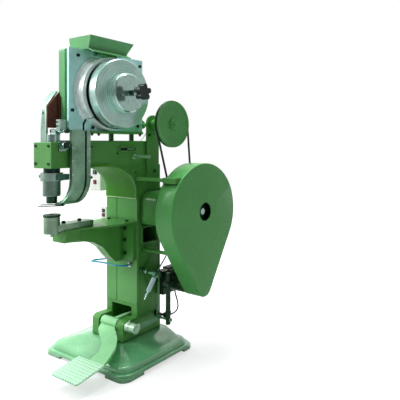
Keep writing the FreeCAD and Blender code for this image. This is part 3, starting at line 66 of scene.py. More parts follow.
def mix_rgb(nt, fac, a, b):
    """Colour a where fac is 0, b where it is 1."""
    m = nt.nodes.new("ShaderNodeMix")
    m.data_type = "RGBA"
    feed(nt, m.inputs[6], a)
    feed(nt, m.inputs[7], b)
    nt.links.new(fac, m.inputs[0])
    return m.outputs[2]


def mix_float(nt, fac, a, b):
    """Number a where fac is 0, b where it is 1."""
    m = nt.nodes.new("ShaderNodeMix")
    m.data_type = "FLOAT"
    feed(nt, m.inputs[2], a)
    feed(nt, m.inputs[3], b)
    nt.links.new(fac, m.inputs[0])
    return m.outputs[0]


def maths(nt, operation, *values):
    n = nt.nodes.new("ShaderNodeMath")
    n.operation = operation
    for socket, value in zip(n.inputs, values):
        feed(nt, socket, value)
    return n.outputs[0]


def vector_maths(nt, operation, *values):
    n = nt.nodes.new("ShaderNodeVectorMath")
    n.operation = operation
    for socket, value in zip(n.inputs, values):
        feed(nt, socket, value)
    return n.outputs["Value" if operation in ("LENGTH", "DOT_PRODUCT") else 0]


def darker(colour, share):
    return tuple(c * share for c in colour[:3]) + (1.0,)


def ramp(nt, value, lo, hi, a, b):
    m = nt.nodes.new("ShaderNodeMapRange")
    m.inputs[1].default_value = lo
    m.inputs[2].default_value = hi
    m.inputs[3].default_value = a
    m.inputs[4].default_value = b
    nt.links.new(value, m.inputs[0])
    return m.outputs[0]


def coords(nt, scale=(1, 1, 1)):
    tc = nt.nodes.new("ShaderNodeTexCoord")
    mp = nt.nodes.new("ShaderNodeMapping")
    mp.inputs["Scale"].default_value = scale
    nt.links.new(tc.outputs["Object"], mp.inputs["Vector"])
    return mp.outputs["Vector"]


def noise(nt, vec, scale, detail=3.0, rough=0.55):
    n = nt.nodes.new("ShaderNodeTexNoise")
    n.inputs["Scale"].default_value = scale
    n.inputs["Detail"].default_value = detail
    n.inputs["Roughness"].default_value = rough
    nt.links.new(vec, n.inputs["Vector"])
    return n.outputs["Fac"]


def bump(nt, height, strength, distance, below=None):
    b = nt.nodes.new("ShaderNodeBump")
    b.inputs["Strength"].default_value = strength
    b.inputs["Distance"].default_value = distance
    nt.links.new(height, b.inputs["Height"])
    if below is not None:
        nt.links.new(below, b.inputs["Normal"])
    return b.outputs["Normal"]


def new_mat(name):
    m = bpy.data.materials.new(name)
    m.use_nodes = True
    nt = m.node_tree
    return m, nt, nt.nodes["Principled BSDF"]


def corner_shade_and_soiling(nt, colour, v, shade_and_dirt_colour, reach=0.030, amount=0.75):
    """Painted shade: darker in corners and creases, found by ambient occlusion; dirt and old oil in thin
    patches elsewhere.
    """
    ao = nt.nodes.new("ShaderNodeAmbientOcclusion")
    ao.samples = 6
    ao.inputs["Distance"].default_value = reach
    # painted shade: the colour goes darker where ambient occlusion finds nearby surfaces
    corner = ramp(nt, ao.outputs["AO"], 0.25, 0.80, amount, 0.0)
    patch = ramp(nt, noise(nt, v, 9.0, 4.0, 0.6), 0.58, 0.84, 0.0, 0.14)
    return mix_rgb(nt, maths(nt, "MAXIMUM", corner, patch), colour, shade_and_dirt_colour)


def in_box(nt, lo, hi):
    """1 inside the box lo..hi, 0 outside, in the object's own frame."""
    tc = nt.nodes.new("ShaderNodeTexCoord")
    middle = [(a + b) / 2 for a, b in zip(lo, hi)]
    away = vector_maths(nt, "ABSOLUTE", vector_maths(nt, "SUBTRACT", tc.outputs["Object"], middle))
    sep = nt.nodes.new("ShaderNodeSeparateXYZ")
    nt.links.new(away, sep.inputs[0])
    x, y, z = [maths(nt, "LESS_THAN", sep.outputs[k], (hi[k] - lo[k]) / 2) for k in range(3)]
    return maths(nt, "MULTIPLY", maths(nt, "MULTIPLY", x, y), z)


def with_zones(nt, p, colour, rough, metal, zones):
    """Links colour, roughness and metal, with other finishes in the boxes of zones."""
    for lo, hi, z_colour, z_rough, z_metal in zones:
        mask = in_box(nt, lo, hi)
        speck = noise(nt, coords(nt), 60.0, 4.0, 0.65)
        own = mix_rgb(nt, ramp(nt, speck, 0.40, 0.72, 0.0, 1.0), z_colour, darker(z_colour, 0.8))
        colour = mix_rgb(nt, mask, colour, own)
        rough = mix_float(nt, mask, rough, z_rough)
        if metal != z_metal or isinstance(metal, bpy.types.NodeSocket):
            metal = mix_float(nt, mask, metal, z_metal)
    nt.links.new(colour, p.inputs["Base Color"])
    nt.links.new(rough, p.inputs["Roughness"])
    feed(nt, p.inputs["Metallic"], metal)


def enamel(name, colour, dark, rough=0.32, lump=0.35, coat=0.18, lump_scale=60.0, zones=()):
    """Machine enamel: a slow drift of tone, painted shade in corners with thin dirt patches, orange peel
    and cast lumps.
    """
    m, nt, p = new_mat(name)
    v = coords(nt)
    slow = noise(nt, v, 5.0, 4.0, 0.6)
    fine = noise(nt, v, 90.0, 3.0, 0.6)
    tone = mix_rgb(nt, ramp(nt, slow, 0.36, 0.66, 0.0, 1.0), colour, dark)
    # painted shade in corners and creases, and thin dirt patches
    tone = corner_shade_and_soiling(nt, tone, v, darker(dark, 0.30))
    with_zones(nt, p, tone, ramp(nt, fine, 0.3, 0.7, rough - 0.07, rough + 0.12), 0.0, zones)
    cast = bump(nt, noise(nt, v, lump_scale, 3.0, 0.5), lump, 0.0010)
    nt.links.new(bump(nt, noise(nt, v, 420.0, 2.0), 0.04, 0.0004, cast), p.inputs["Normal"])
    p.inputs["Coat Weight"].default_value = coat
    p.inputs["Coat Roughness"].default_value = 0.12
    p.inputs["Specular IOR Level"].default_value = 0.24
    return m


def steel(name, colour, dark, rough=0.30, grain=(1, 1, 1), grain_scale=240.0, metal=1.0, depth=0.12,
          zones=(), amount=0.6):
    """Brushed or ground steel: fine grain stretched along one direction, dull patches, and painted shade in
    corners.
    """
    m, nt, p = new_mat(name)
    v = coords(nt, grain)
    lines = noise(nt, v, grain_scale, 3.0, 0.7)
    patches = noise(nt, coords(nt), 11.0, 4.0, 0.65)
    tone = mix_rgb(nt, ramp(nt, patches, 0.38, 0.70, 0.0, 1.0), colour, dark)
    # painted shade in corners and crevices, as dark as amount sets, and thin dirt patches
    tone = corner_shade_and_soiling(nt, tone, coords(nt), darker(dark, 0.25), 0.012, amount)
    with_zones(nt, p, tone, ramp(nt, lines, 0.25, 0.75, rough - 0.08, rough + 0.14), metal, zones)
    nt.links.new(bump(nt, lines, depth, 0.0003), p.inputs["Normal"])
    return m


def turned_steel(name, colour, dark, centre, rough=0.24, zones=()):
    """Turned steel: fine rings about the X axis through centre."""
    m, nt, p = new_mat(name)
    tc = nt.nodes.new("ShaderNodeTexCoord")
    from_axis = vector_maths(nt, "SUBTRACT", tc.outputs["Object"], centre)
    radius = vector_maths(nt, "LENGTH", vector_maths(nt, "MULTIPLY", from_axis, (0, 1, 1)))
    comb = nt.nodes.new("ShaderNodeCombineXYZ")
    sep = nt.nodes.new("ShaderNodeSeparateXYZ")
    nt.links.new(tc.outputs["Object"], sep.inputs[0])
    nt.links.new(radius, comb.inputs[0])
    nt.links.new(sep.outputs[0], comb.inputs[1])
    rings = noise(nt, comb.outputs[0], 700.0, 2.0, 0.5)
    patches = noise(nt, coords(nt), 9.0, 4.0, 0.6)
    tone = mix_rgb(nt, ramp(nt, patches, 0.40, 0.72, 0.0, 1.0), colour, dark)
    with_zones(nt, p, tone, ramp(nt, rings, 0.3, 0.7, rough - 0.03, rough + 0.05), 0.62, zones)
    nt.links.new(bump(nt, rings, 0.02, 0.0002), p.inputs["Normal"])
    return m


def plastic(name, colour, dark, rough=0.35, depth=0.05, scale=300.0):
    m, nt, p = new_mat(name)
    v = coords(nt)
    nt.links.new(mix_rgb(nt, ramp(nt, noise(nt, v, 18.0, 4.0), 0.35, 0.7, 0.0, 1.0), colour, dark),
                 p.inputs["Base Color"])
    f = noise(nt, v, scale, 2.0)
    nt.links.new(ramp(nt, f, 0.3, 0.7, rough - 0.06, rough + 0.08), p.inputs["Roughness"])
    nt.links.new(bump(nt, f, depth, 0.0004), p.inputs["Normal"])
    return m


def chequer(name, colour, dark, pitch=0.0300):
    """Painted tread plate: rows of raised diamonds, pitch apart."""
    m, nt, p = new_mat(name)
    v = coords(nt)
    sep = nt.nodes.new("ShaderNodeSeparateXYZ")
    nt.links.new(v, sep.inputs[0])
    k = 2 * math.pi / pitch

    def wave(kx, ky):
        along = maths(nt, "MULTIPLY_ADD", sep.outputs[1], ky, maths(nt, "MULTIPLY", sep.outputs[0], kx))
        return maths(nt, "SINE", along)

    h = ramp(nt, maths(nt, "MULTIPLY", wave(k, k), wave(k, -k)), -0.45, -0.05, 0.0, 1.0)
    worn = noise(nt, v, 40.0, 4.0)
    base = mix_rgb(nt, ramp(nt, worn, 0.35, 0.7, 0.0, 1.0), colour, dark)
    raised = tuple(min(1.0, c * 1.35) for c in colour[:3]) + (1,)
    nt.links.new(mix_rgb(nt, h, base, raised), p.inputs["Base Color"])
    nt.links.new(ramp(nt, h, 0.0, 1.0, 0.52, 0.34), p.inputs["Roughness"])
    nt.links.new(bump(nt, h, 0.9, 0.0012), p.inputs["Normal"])
    return m


# ---- camera ------------------------------------------------------------------------------
cam_data = bpy.data.cameras.new("camera")
cam = bpy.data.objects.new("camera", cam_data)
scene.collection.objects.link(cam)
cam_data.sensor_width = 36.0
cam_data.lens = 41.70
cam_data.shift_x = -0.125
cam_data.shift_y = -0.1409
cam.location = (1.6677, -1.4651, 0.95)
cam.rotation_euler = (math.radians(90.0), 0.0, math.radians(33.05))
scene.camera = cam
scene.view_settings.view_transform = "Standard"

# ---- cords -------------------------------------------------------------------------------
RUBBER = plastic("black_rubber", srgb(26, 30, 30), srgb(16, 18, 18), 0.55, 0.12, 500.0)
HOSE = plastic("cyan_tube", srgb(28, 158, 196), srgb(20, 136, 176), 0.22, 0.02)


def cord(name, pts, diameter, mat, node):
    c = bpy.data.curves.new(name, "CURVE")
    c.dimensions = "3D"
    c.bevel_depth = diameter / 2
    c.bevel_resolution = 5
    c.resolution_u = 14
    s = c.splines.new("NURBS")
    s.points.add(len(pts) - 1)
    for q, p in zip(s.points, pts):
        q.co = (p[0], p[1], p[2], 1.0)
    s.order_u = 3
    s.use_endpoint_u = True
    c.use_fill_caps = True
    o = bpy.data.objects.new(name, c)
    scene.collection.objects.link(o)
    c.materials.append(mat)
    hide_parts(node)
    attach(o, "frame")
    return o


# the points that each cord passes near, metres
hose_pts = [(0.060, -0.006, 0.400), (0.060, -0.022, 0.400), (0.044, -0.036, 0.400),
            (0.016, -0.043, 0.401), (-0.022, -0.042, 0.401), (-0.066, -0.037, 0.400),
            (-0.112, -0.034, 0.397), (-0.157, -0.028, 0.391), (-0.190, -0.012, 0.385),
            (-0.206, 0.016, 0.382), (-0.198, 0.045, 0.381), (-0.176, 0.064, 0.382),
            (-0.156, 0.071, 0.389), (-0.137, 0.072, 0.394), (-0.121, 0.072, 0.394)]
cable_pts = [(0.126, 0.232, 0.240), (0.126, 0.232, 0.222), (0.132, 0.237, 0.200),
             (0.145, 0.232, 0.178), (0.161, 0.215, 0.161), (0.171, 0.190, 0.153),
             (0.174, 0.163, 0.151), (0.174, 0.138, 0.151)]
cord("air_hose", hose_pts, 0.0080, HOSE, "blue_hose")
cord("switch_cable", cable_pts, 0.0066, RUBBER, "black_cable")


# ---- materials ---------------------------------------------------------------------------
# A zone is a box lo..hi in metres, then the colour, roughness and metal inside it.
NUT = (srgb(196, 214, 206), 0.25, 1.0)
# near-black teal: the dark knobs' own colour, also used as painted shade in the eyelet channel and round
# the drum's neck
INKY = (srgb(30, 64, 52), 0.35, 0.5)
CAST_GREEN, CAST_GREEN_DARK = srgb(88, 162, 75), srgb(77, 150, 66)
RIM_GREEN = (srgb(86, 158, 74), 0.32, 0.0)
GREEN = enamel("green_cast", CAST_GREEN, CAST_GREEN_DARK, lump=0.2)
# green_arm: the near-black box in the slot on the arm's right side is painted shade in that recess
GREEN_ARM = enamel("green_arm", CAST_GREEN, CAST_GREEN_DARK, lump=0.2,
                   zones=[((0.1004, -0.0925, 0.9195), (0.1072, -0.0055, 0.9325),
                           srgb(12, 36, 20), 0.5, 0.0)])
GREEN_FLAT = enamel("green_plate", srgb(101, 172, 92), srgb(92, 162, 84), lump=0.08, lump_scale=24.0)
GREEN_PALE = enamel("green_thin_plate", srgb(112, 188, 122), srgb(98, 174, 110), lump=0.06,
                    lump_scale=24.0, coat=0.2)
# throat: a darker, yellower green than the casting; the darkness is painted shade under the arm, and the
# rims keep the casting's green
GREEN_THROAT_SHADED = enamel("green_throat_painted_shade", srgb(72, 148, 38), srgb(56, 126, 30), rough=0.48, lump=0.15, coat=0.0,
                      zones=[((-0.1065, -0.26, 0.69), (-0.0902, 0.05, 0.88)) + RIM_GREEN,
                             ((0.0902, -0.26, 0.69), (0.1065, 0.05, 0.88)) + RIM_GREEN])
GREEN_GUARD = enamel("green_guard", srgb(91, 172, 93), srgb(85, 164, 87), rough=0.30, lump=0.06,
                     lump_scale=10.0)
GREEN_BASE = enamel("green_base", srgb(130, 206, 148), srgb(98, 176, 120), rough=0.20, lump=0.10,
                    lump_scale=16.0, coat=1.0)
GREEN_BASE.node_tree.nodes["Principled BSDF"].inputs["Coat IOR"].default_value = 1.8
GREEN_PEDAL = enamel("green_pedal", srgb(168, 236, 176), srgb(146, 222, 158), rough=0.30, lump=0.1)
GREEN_MOTOR = enamel("green_motor", srgb(26, 66, 34), srgb(16, 46, 24), rough=0.42, coat=0.1)
# lighter, glossier green for the levers and rods: painted light on faces the lamps leave dark; the pale box
# at the hub and collar is a painted highlight
GREEN_ROD_LIGHTENED = enamel("green_rod_painted_light", srgb(96, 162, 112), srgb(70, 132, 86), rough=0.28, coat=0.7, lump=0.1,
                   zones=[((0.104, -0.078, 0.116), (0.168, -0.022, 0.182), srgb(190, 232, 198), 0.24, 0.3)])
TREAD = chequer("green_tread", srgb(176, 228, 190), srgb(152, 210, 168))
PLATE_STEEL = steel("plate_steel", srgb(206, 255, 252), srgb(172, 230, 224), 0.34, (1, 6, 1), 160.0,
                    amount=0.3, metal=0.5,
                    # dark box where the eyelet channel meets the plate: painted shade
                    zones=[((0.0610, -0.2560, 1.0020), (0.0662, -0.2370, 1.0560)) + INKY,
                           ((0.0668, -0.3100, 1.0100), (0.1200, -0.1260, 1.3400),
                            srgb(240, 255, 252), 0.26, 0.15)])
TRACK_STEEL = steel("track_steel", srgb(158, 198, 172), srgb(104, 142, 116), 0.36, (4, 4, 1), 140.0)
BAR_STEEL = steel("bar_steel", srgb(170, 198, 186), srgb(126, 156, 140), 0.36, (1, 1, 1), 120.0, amount=0.4,
                  zones=[((-0.09, -0.42, 0.8342), (0.09, -0.27, 0.860), srgb(44, 70, 62), 0.34, 0.9),
                         ((-0.070, -0.42, 0.8000), (-0.044, -0.33, 0.8341), srgb(52, 92, 82), 0.30, 0.9),
                         ((0.0440, -0.42, 0.8000), (0.070, -0.30, 0.8341), srgb(70, 116, 98), 0.30, 0.9)])
ROD_STEEL = steel("rod_steel", srgb(206, 222, 216), srgb(150, 174, 164), 0.20, (1, 8, 8), 200.0)
LEVER_STEEL = steel("lever_steel", srgb(98, 150, 116), srgb(56, 106, 72), 0.30, (1, 4, 4), 120.0, metal=0.6,
                    zones=[((0.183, -0.045, 0.270), (0.207, 0.105, 0.365), srgb(196, 226, 228), 0.26, 1.0),
                           ((0.183, 0.020, 0.386), (0.207, 0.105, 0.450), srgb(170, 206, 196), 0.26, 1.0)])
# darker green on the crankcase and drive housing: painted shade
GREEN_PAINTED_SHADE = enamel("green_painted_shade", srgb(70, 138, 62), srgb(56, 118, 50), lump=0.12, coat=0.2)
HOLDER_STEEL = steel("holder_steel", srgb(136, 164, 150), srgb(108, 138, 122), 0.26, (1, 1, 8), 90.0,
                     depth=0.05, amount=0.3)
FITTING_STEEL = steel("fitting_steel", srgb(196, 224, 216), srgb(150, 184, 172), 0.22, (1, 1, 1), 150.0,
                      zones=[((-0.0140, -0.3540, 0.9880), (0.0012, -0.3280, 1.0120)) + INKY,
                             ((0.0778, -0.3540, 0.9880), (0.0920, -0.3280, 1.0120)) + INKY,
                             ((0.0828, -0.3540, 0.9300), (0.0870, -0.3280, 0.9560)) + INKY,
                             ((0.0990, -0.0260, 0.8780), (0.2040, 0.0020, 0.9060),
                              srgb(150, 204, 156), 0.3, 0.3)])
PUNCH_STEEL = steel("punch_steel", srgb(66, 104, 84), srgb(40, 72, 56), 0.32, (1, 1, 2), 150.0)
DISC_STEEL = steel("disc_steel", srgb(48, 86, 56), srgb(30, 60, 38), 0.50, (1, 1, 1), 90.0, metal=0.5)
FORK_STEEL = steel("fork_steel", srgb(116, 148, 128), srgb(84, 114, 96), 0.46, (4, 4, 1), 140.0, metal=0.4)
ANVIL_STEEL = steel("anvil_steel", srgb(164, 194, 168), srgb(122, 152, 128), 0.34, (1, 1, 3), 130.0,
                    amount=0.4, zones=[((-0.02, -0.312, 0.6263), (0.02, -0.170, 0.640),
                                        srgb(24, 48, 36), 0.34, 0.6)])
DARK_STEEL = steel("dark_steel", srgb(46, 62, 56), srgb(24, 36, 32), 0.34, (1, 1, 2), 150.0)
GREEN_SCREW = enamel("green_screw_heads", srgb(44, 92, 46), srgb(28, 68, 32), rough=0.34, lump=0.1,
                     zones=[((0.060, -0.35, 0.98), (0.080, 0.09, 1.34), srgb(28, 50, 44), 0.30, 0.7)])
DRUM_STEEL = turned_steel("drum_steel", srgb(202, 236, 226), srgb(172, 212, 200), (0.0, -0.126, 1.1594),
                          zones=[((0.196, -0.20, 1.08), (0.2061, -0.05, 1.24),
                                  srgb(196, 230, 220), 0.13, 0.8),
                                 ((0.206, -0.30, 1.0), (0.262, 0.05, 1.32)) + INKY,
                                 ((0.236, -0.30, 1.0), (0.251, 0.05, 1.32)) + NUT,
                                 # dark box round the drum's neck behind its face: painted shade
                                 ((0.05, -0.30, 1.0), (0.1235, 0.05, 1.32)) + INKY])
WHITE = plastic("white_shell", srgb(244, 246, 242), srgb(230, 234, 228), 0.42)
NYLON = plastic("nylon_sleeve", srgb(204, 232, 242), srgb(176, 212, 226), 0.26)
KNOB = plastic("knob_moulding", srgb(20, 46, 40), srgb(10, 28, 24), 0.26)
BLACK = plastic("black_moulding", srgb(24, 26, 27), srgb(14, 15, 16), 0.24)
RED = plastic("red_button", srgb(140, 56, 52), srgb(112, 40, 38), 0.34)
RUST = enamel("red_brown_web", srgb(112, 62, 46), srgb(84, 44, 34), rough=0.5, lump=0.3)

LOOK = {
    "base_casting": GREEN_BASE, "column_casting": GREEN, "front_covers": GREEN_FLAT,
    "throat_casting": GREEN_THROAT_SHADED, "crankcase": GREEN_PAINTED_SHADE, "upper_arm": GREEN_ARM, "head_box": GREEN,
    "head_cover": GREEN_FLAT, "clamp_ring": BAR_STEEL, "head_fittings": FITTING_STEEL,
    "support_bar": BAR_STEEL, "gusset": RUST, "hopper_mounting_plate": GREEN_PALE,
    "hopper_plate": PLATE_STEEL, "hopper_bin": GREEN_PALE, "hopper_ledge": GREEN,
    "raceway_track": TRACK_STEEL, "raceway_fork": FORK_STEEL, "anvil_bracket": GREEN,
    "anvil_holder": ANVIL_STEEL, "anvil_disc": DISC_STEEL, "motor": GREEN_MOTOR,
    "motor_mount": GREEN_MOTOR, "junction_box": GREEN_MOTOR, "limit_switch": DARK_STEEL,
    "belt_guard": GREEN_GUARD, "tie_rods": GREEN, "drive_housing": GREEN_PAINTED_SHADE, "mast_strap": GREEN,
    "round_belt": RUBBER, "drive_belts": RUBBER, "crankshaft": ROD_STEEL,
    "switch_bracket": BAR_STEEL, "switch_box_upper": WHITE, "switch_box_lower": WHITE,
    "blue_hose": HOSE, "hose_fittings": ROD_STEEL, "black_cable": RUBBER, "screws": GREEN_SCREW,
    "pedal_pad": TREAD, "pedal_arm": GREEN_PEDAL, "side_lever": GREEN_ROD_LIGHTENED, "pull_rod": GREEN_ROD_LIGHTENED,
    "trip_rod": GREEN_MOTOR, "clutch_lever": LEVER_STEEL, "lever_sleeve": NYLON,
    "ram_spindle": ROD_STEEL, "punch_holder": HOLDER_STEEL, "punch": PUNCH_STEEL,
    "rocker_lever": DARK_STEEL, "lift_rod": DARK_STEEL, "flywheel": GREEN_MOTOR,
    "motor_pulley": DARK_STEEL, "upper_pulley": GREEN_GUARD, "drum_shell": DRUM_STEEL,
    "star_knob": KNOB, "button_black": BLACK, "button_red": RED, "key_black": BLACK,
    "key_red": RED,
}


CREASE, ROUNDED = math.radians(34), math.radians(38)     # kept sharp above, rounded above
PLAIN_EDGE = 0.0010                                      # metres, for the nodes that EDGE leaves out


def smooth_group():
    """Smooth shading that keeps the creases."""
    g = bpy.data.node_groups.new("smooth_by_angle", "GeometryNodeTree")
    g.interface.new_socket("Geometry", in_out="INPUT", socket_type="NodeSocketGeometry")
    g.interface.new_socket("Geometry", in_out="OUTPUT", socket_type="NodeSocketGeometry")
    i, o = g.nodes.new("NodeGroupInput"), g.nodes.new("NodeGroupOutput")
    face = g.nodes.new("GeometryNodeSetShadeSmooth")
    face.domain = "FACE"
    edge = g.nodes.new("GeometryNodeSetShadeSmooth")
    edge.domain = "EDGE"
    edge.inputs["Shade Smooth"].default_value = False
    angle = g.nodes.new("GeometryNodeInputMeshEdgeAngle")
    cmp = g.nodes.new("FunctionNodeCompare")
    cmp.data_type = "FLOAT"
    cmp.operation = "GREATER_THAN"
    cmp.inputs[1].default_value = CREASE
    g.links.new(i.outputs[0], face.inputs["Geometry"])
    g.links.new(face.outputs[0], edge.inputs["Geometry"])
    g.links.new(angle.outputs["Unsigned Angle"], cmp.inputs[0])
    g.links.new(cmp.outputs[0], edge.inputs["Selection"])
    g.links.new(edge.outputs[0], o.inputs[0])
    return g


SMOOTH = smooth_group()


def soften(o, width):
    """Rounds the sharp edges by width, then smooth shading by angle."""
    w = o.modifiers.new("weld", "WELD")
    w.merge_threshold = 0.00002
    if width > 0:
        b = o.modifiers.new("edge_round", "BEVEL")
        b.width = width
        b.segments = 2
        b.limit_method = "ANGLE"
        b.angle_limit = ROUNDED
        b.use_clamp_overlap = True
    m = o.modifiers.new("smooth", "NODES")
    m.node_group = SMOOTH
    if width > 0:
        f = o.modifiers.new("flat_faces", "WEIGHTED_NORMAL")
        f.keep_sharp = True


EDGE = {"base_casting": 0.003, "column_casting": 0.0035, "front_covers": 0.0, "throat_casting": 0.003,
        "upper_arm": 0.0, "anvil_bracket": 0.003, "head_box": 0.002, "hopper_bin": 0.0008,
        "belt_guard": 0.0, "drive_housing": 0.0015, "raceway_fork": 0.0004, "round_belt": 0.0012,
        "screws": 0.0005, "pedal_arm": 0.002, "blue_hose": 0.0, "black_cable": 0.0}

for name, o in nodes.items():
    o.data.materials.clear()
    o.data.materials.append(LOOK.get(name, GREEN))
    soften(o, EDGE.get(name, PLAIN_EDGE))

# ---- small pieces ------------------------------------------------------------------------
def mesh_piece(name, verts, faces, mat, body="frame"):
    me = bpy.data.meshes.new(name)
    me.from_pydata(verts, [], faces)
    me.materials.append(mat)
    o = bpy.data.objects.new(name, me)
    scene.collection.objects.link(o)
    soften(o, 0.0)
    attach(o, body)
    return o


def cap_screws(name, spots, axis, r, h, mat, body="frame", n=24):
    """Socket head screws standing on the given points, with their heads along axis."""
    up = Vector(axis).normalized()
    a = up.orthogonal().normalized()
    b = up.cross(a)
    hexagon = [0.50 * r / math.cos(math.radians((i * 360 / n) % 60 - 30)) for i in range(n)]
    rings = [([r] * n, -0.0004), ([r] * n, h * 0.80), ([r * 0.86] * n, h), (hexagon, h), (hexagon, h * 0.4)]
    verts, faces = [], []
    for spot in spots:
        k = len(verts)
        for radii, z in rings:
            for i, q in enumerate(radii):
                t = 2 * math.pi * i / n
                verts.append(Vector(spot) + up * z + (a * math.cos(t) + b * math.sin(t)) * q)
        for j in range(len(rings) - 1):
            for i in range(n):
                low, high, i2 = k + j * n, k + (j + 1) * n, (i + 1) % n
                faces.append((low + i, low + i2, high + i2, high + i))
        faces.append(tuple(k + i for i in reversed(range(n))))
        faces.append(tuple(k + (len(rings) - 1) * n + i for i in range(n)))
    return mesh_piece(name, verts, faces, mat, body)


def round_bar(name, pts, r, mat, body="frame", n=12):
    """Round bar through pts, with slightly domed ends."""
    pts = [Vector(q) for q in pts]
    verts, faces, stations = [], [], []
    for i, q in enumerate(pts):
        t = (pts[min(i + 1, len(pts) - 1)] - pts[max(i - 1, 0)]).normalized()
        stations.append((q, t, 1.0))
    first, last = stations[0], stations[-1]
    stations = [(first[0] - first[1] * r * 0.4, first[1], 0.7)] + stations
    stations.append((last[0] + last[1] * r * 0.4, last[1], 0.7))
    a = stations[0][1].orthogonal().normalized()
    for q, t, f in stations:
        a = (a - t * a.dot(t)).normalized()
        b = t.cross(a)
        for k in range(n):
            u = 2 * math.pi * k / n
            verts.append(q + (a * math.cos(u) + b * math.sin(u)) * r * f)
    for j in range(len(stations) - 1):
        for k in range(n):
            k2 = (k + 1) % n
            faces.append((j * n + k, j * n + k2, (j + 1) * n + k2, (j + 1) * n + k))
    faces.append(tuple(reversed(range(n))))
    faces.append(tuple((len(stations) - 1) * n + k for k in range(n)))
    return mesh_piece(name, verts, faces, mat, body)


def key_frames(name, spots, mat, lip=0.0022, gap=0.0007, rise=0.0014):
    """Square frames round the keys: spots are (x, z, half width, half height)."""
    verts, faces = [], []
    y0, y1 = SWITCH_FACE + 0.0002, SWITCH_FACE - rise
    for x, z, hw, hh in spots:
        k = len(verts)
        for y, g in ((y0, gap), (y1, gap), (y1, lip), (y0, lip)):
            for sx, sz in ((-1, -1), (1, -1), (1, 1), (-1, 1)):
                verts.append((x + sx * (hw + g), y, z + sz * (hh + g)))
        for j in range(4):
            for i in range(4):
                low, high, i2 = k + j * 4, k + (j + 1) % 4 * 4, (i + 1) % 4
                faces.append((low + i, low + i2, high + i2, high + i))
    return mesh_piece(name, verts, faces, mat)


def ring_mark(name, x, y, z, r, mat, body, n=28, m=8, thick=0.0007):
    """Raised ring on the face of a key."""
    verts, faces = [], []
    for i in range(n):
        a = 2 * math.pi * i / n
        for j in range(m):
            b = 2 * math.pi * j / m
            q = r + thick * math.cos(b)
            verts.append((x + q * math.cos(a), y - thick * math.sin(b), z + q * math.sin(a)))
    for i in range(n):
        for j in range(m):
            i2, j2 = (i + 1) % n, (j + 1) % m
            faces.append((i * m + j, i2 * m + j, i2 * m + j2, i * m + j2))
    return mesh_piece(name, verts, faces, mat, body)


# the raceway, metres: heights of its top, bend and tongue, its place, and how far it runs to the tool
TRACK_TOP, TRACK_BEND, TRACK_TONGUE = 1.003, 0.804, 0.712
TRACK_X, TRACK_Y, TRACK_RUN = 0.070, -0.271, 0.056
TO_TOOL = Vector((-0.070, -0.078, 0.0)).normalized()


def track_sections(steps=6):
    """Middles of the raceway's face with their outward normals, from the top round the bend."""
    across, drop = Vector((0, 1, 0)), TRACK_BEND - TRACK_TONGUE
    start, outward = Vector((TRACK_X, TRACK_Y, TRACK_BEND)), Vector((1, 0, 0))
    out = [(Vector((TRACK_X, TRACK_Y, TRACK_TOP)), outward), (start, outward)]
    for i in range(1, steps + 1):
        a = math.pi / 2 * i / steps
        c = start + TO_TOOL * (TRACK_RUN * (1 - math.cos(a)))
        c.z = TRACK_BEND - drop * math.sin(a)
        t = Vector((0, 0, -drop)) * math.cos(a) + TO_TOOL * (TRACK_RUN * math.sin(a))
        out.append((c, t.cross(across).normalized()))
    return out


def track_shade_strip(name, off, width, lift, mat, thick=0.0003):
    """Thin dark strip down the raceway's face: painted shade on the floor of the eyelet channel."""
    verts, faces = [], []
    for c, n in track_sections():
        for y, q in ((off, lift), (off + width, lift), (off + width, lift + thick), (off, lift + thick)):
            verts.append(c + Vector((0, y, 0)) + n * q)
    k = len(verts) // 4
    for j in range(k - 1):
        for i in range(4):
            i2 = (i + 1) % 4
            faces.append((j * 4 + i, j * 4 + i2, j * 4 + 4 + i2, j * 4 + 4 + i))
    faces.append((3, 2, 1, 0))
    faces.append(tuple((k - 1) * 4 + i for i in range(4)))
    return mesh_piece(name, verts, faces, mat)


SWITCH_FACE, KEY_FACE = 0.0500, 0.0452     # y of the boxes' fronts and of the keys' faces, metres
SCREW_BRIGHT = steel("bright_screw", srgb(226, 250, 238), srgb(180, 220, 198), 0.30, (1, 1, 1), 300.0,
                     metal=0.3)
# near-white green for the bead along the covers' top: a painted highlight on its lip
GREEN_BEAD_HIGHLIGHT = enamel("green_bead_painted_highlight", srgb(206, 244, 188), srgb(180, 226, 160), rough=0.25, lump=0.05, coat=0.8)
# painted shade for the floor of the eyelet channel
CHANNEL_SHADE = steel("channel_painted_shade", srgb(34, 60, 46), srgb(18, 36, 28), 0.40, (1, 1, 3), 200.0, metal=0.6)
BOLT_DARK = steel("dark_bolt", srgb(30, 66, 44), srgb(18, 44, 30), 0.34, (1, 1, 2), 200.0, metal=0.5)
PALE_MARK = plastic("pale_mark", srgb(196, 214, 208), srgb(170, 190, 184), 0.40)

# bead on the front covers, in the pale paint that stands for its highlight
round_bar("cover_bead", [(-0.1005, 0.0034, 0.7022), (0.0, 0.0034, 0.7022), (0.1005, 0.0034, 0.7022)],
          0.0021, GREEN_BEAD_HIGHLIGHT)
RAIL_FACE = 0.0818
cap_screws("raceway_screws_left", [(RAIL_FACE, -0.3122, z) for z in (0.9335, 0.881, 0.8274)],
           (1, 0, 0), 0.0036, 0.0020, SCREW_BRIGHT)
cap_screws("raceway_screws_right", [(RAIL_FACE, -0.2335, z) for z in (0.9285, 0.8785, 0.8242)],
           (1, 0, 0), 0.0034, 0.0020, SCREW_BRIGHT)
cap_screws("raceway_side_bolts", [(0.0720, -0.2272, 0.937), (0.0720, -0.2272, 0.8105)], (0, 1, 0),
           0.0052, 0.015, BOLT_DARK)
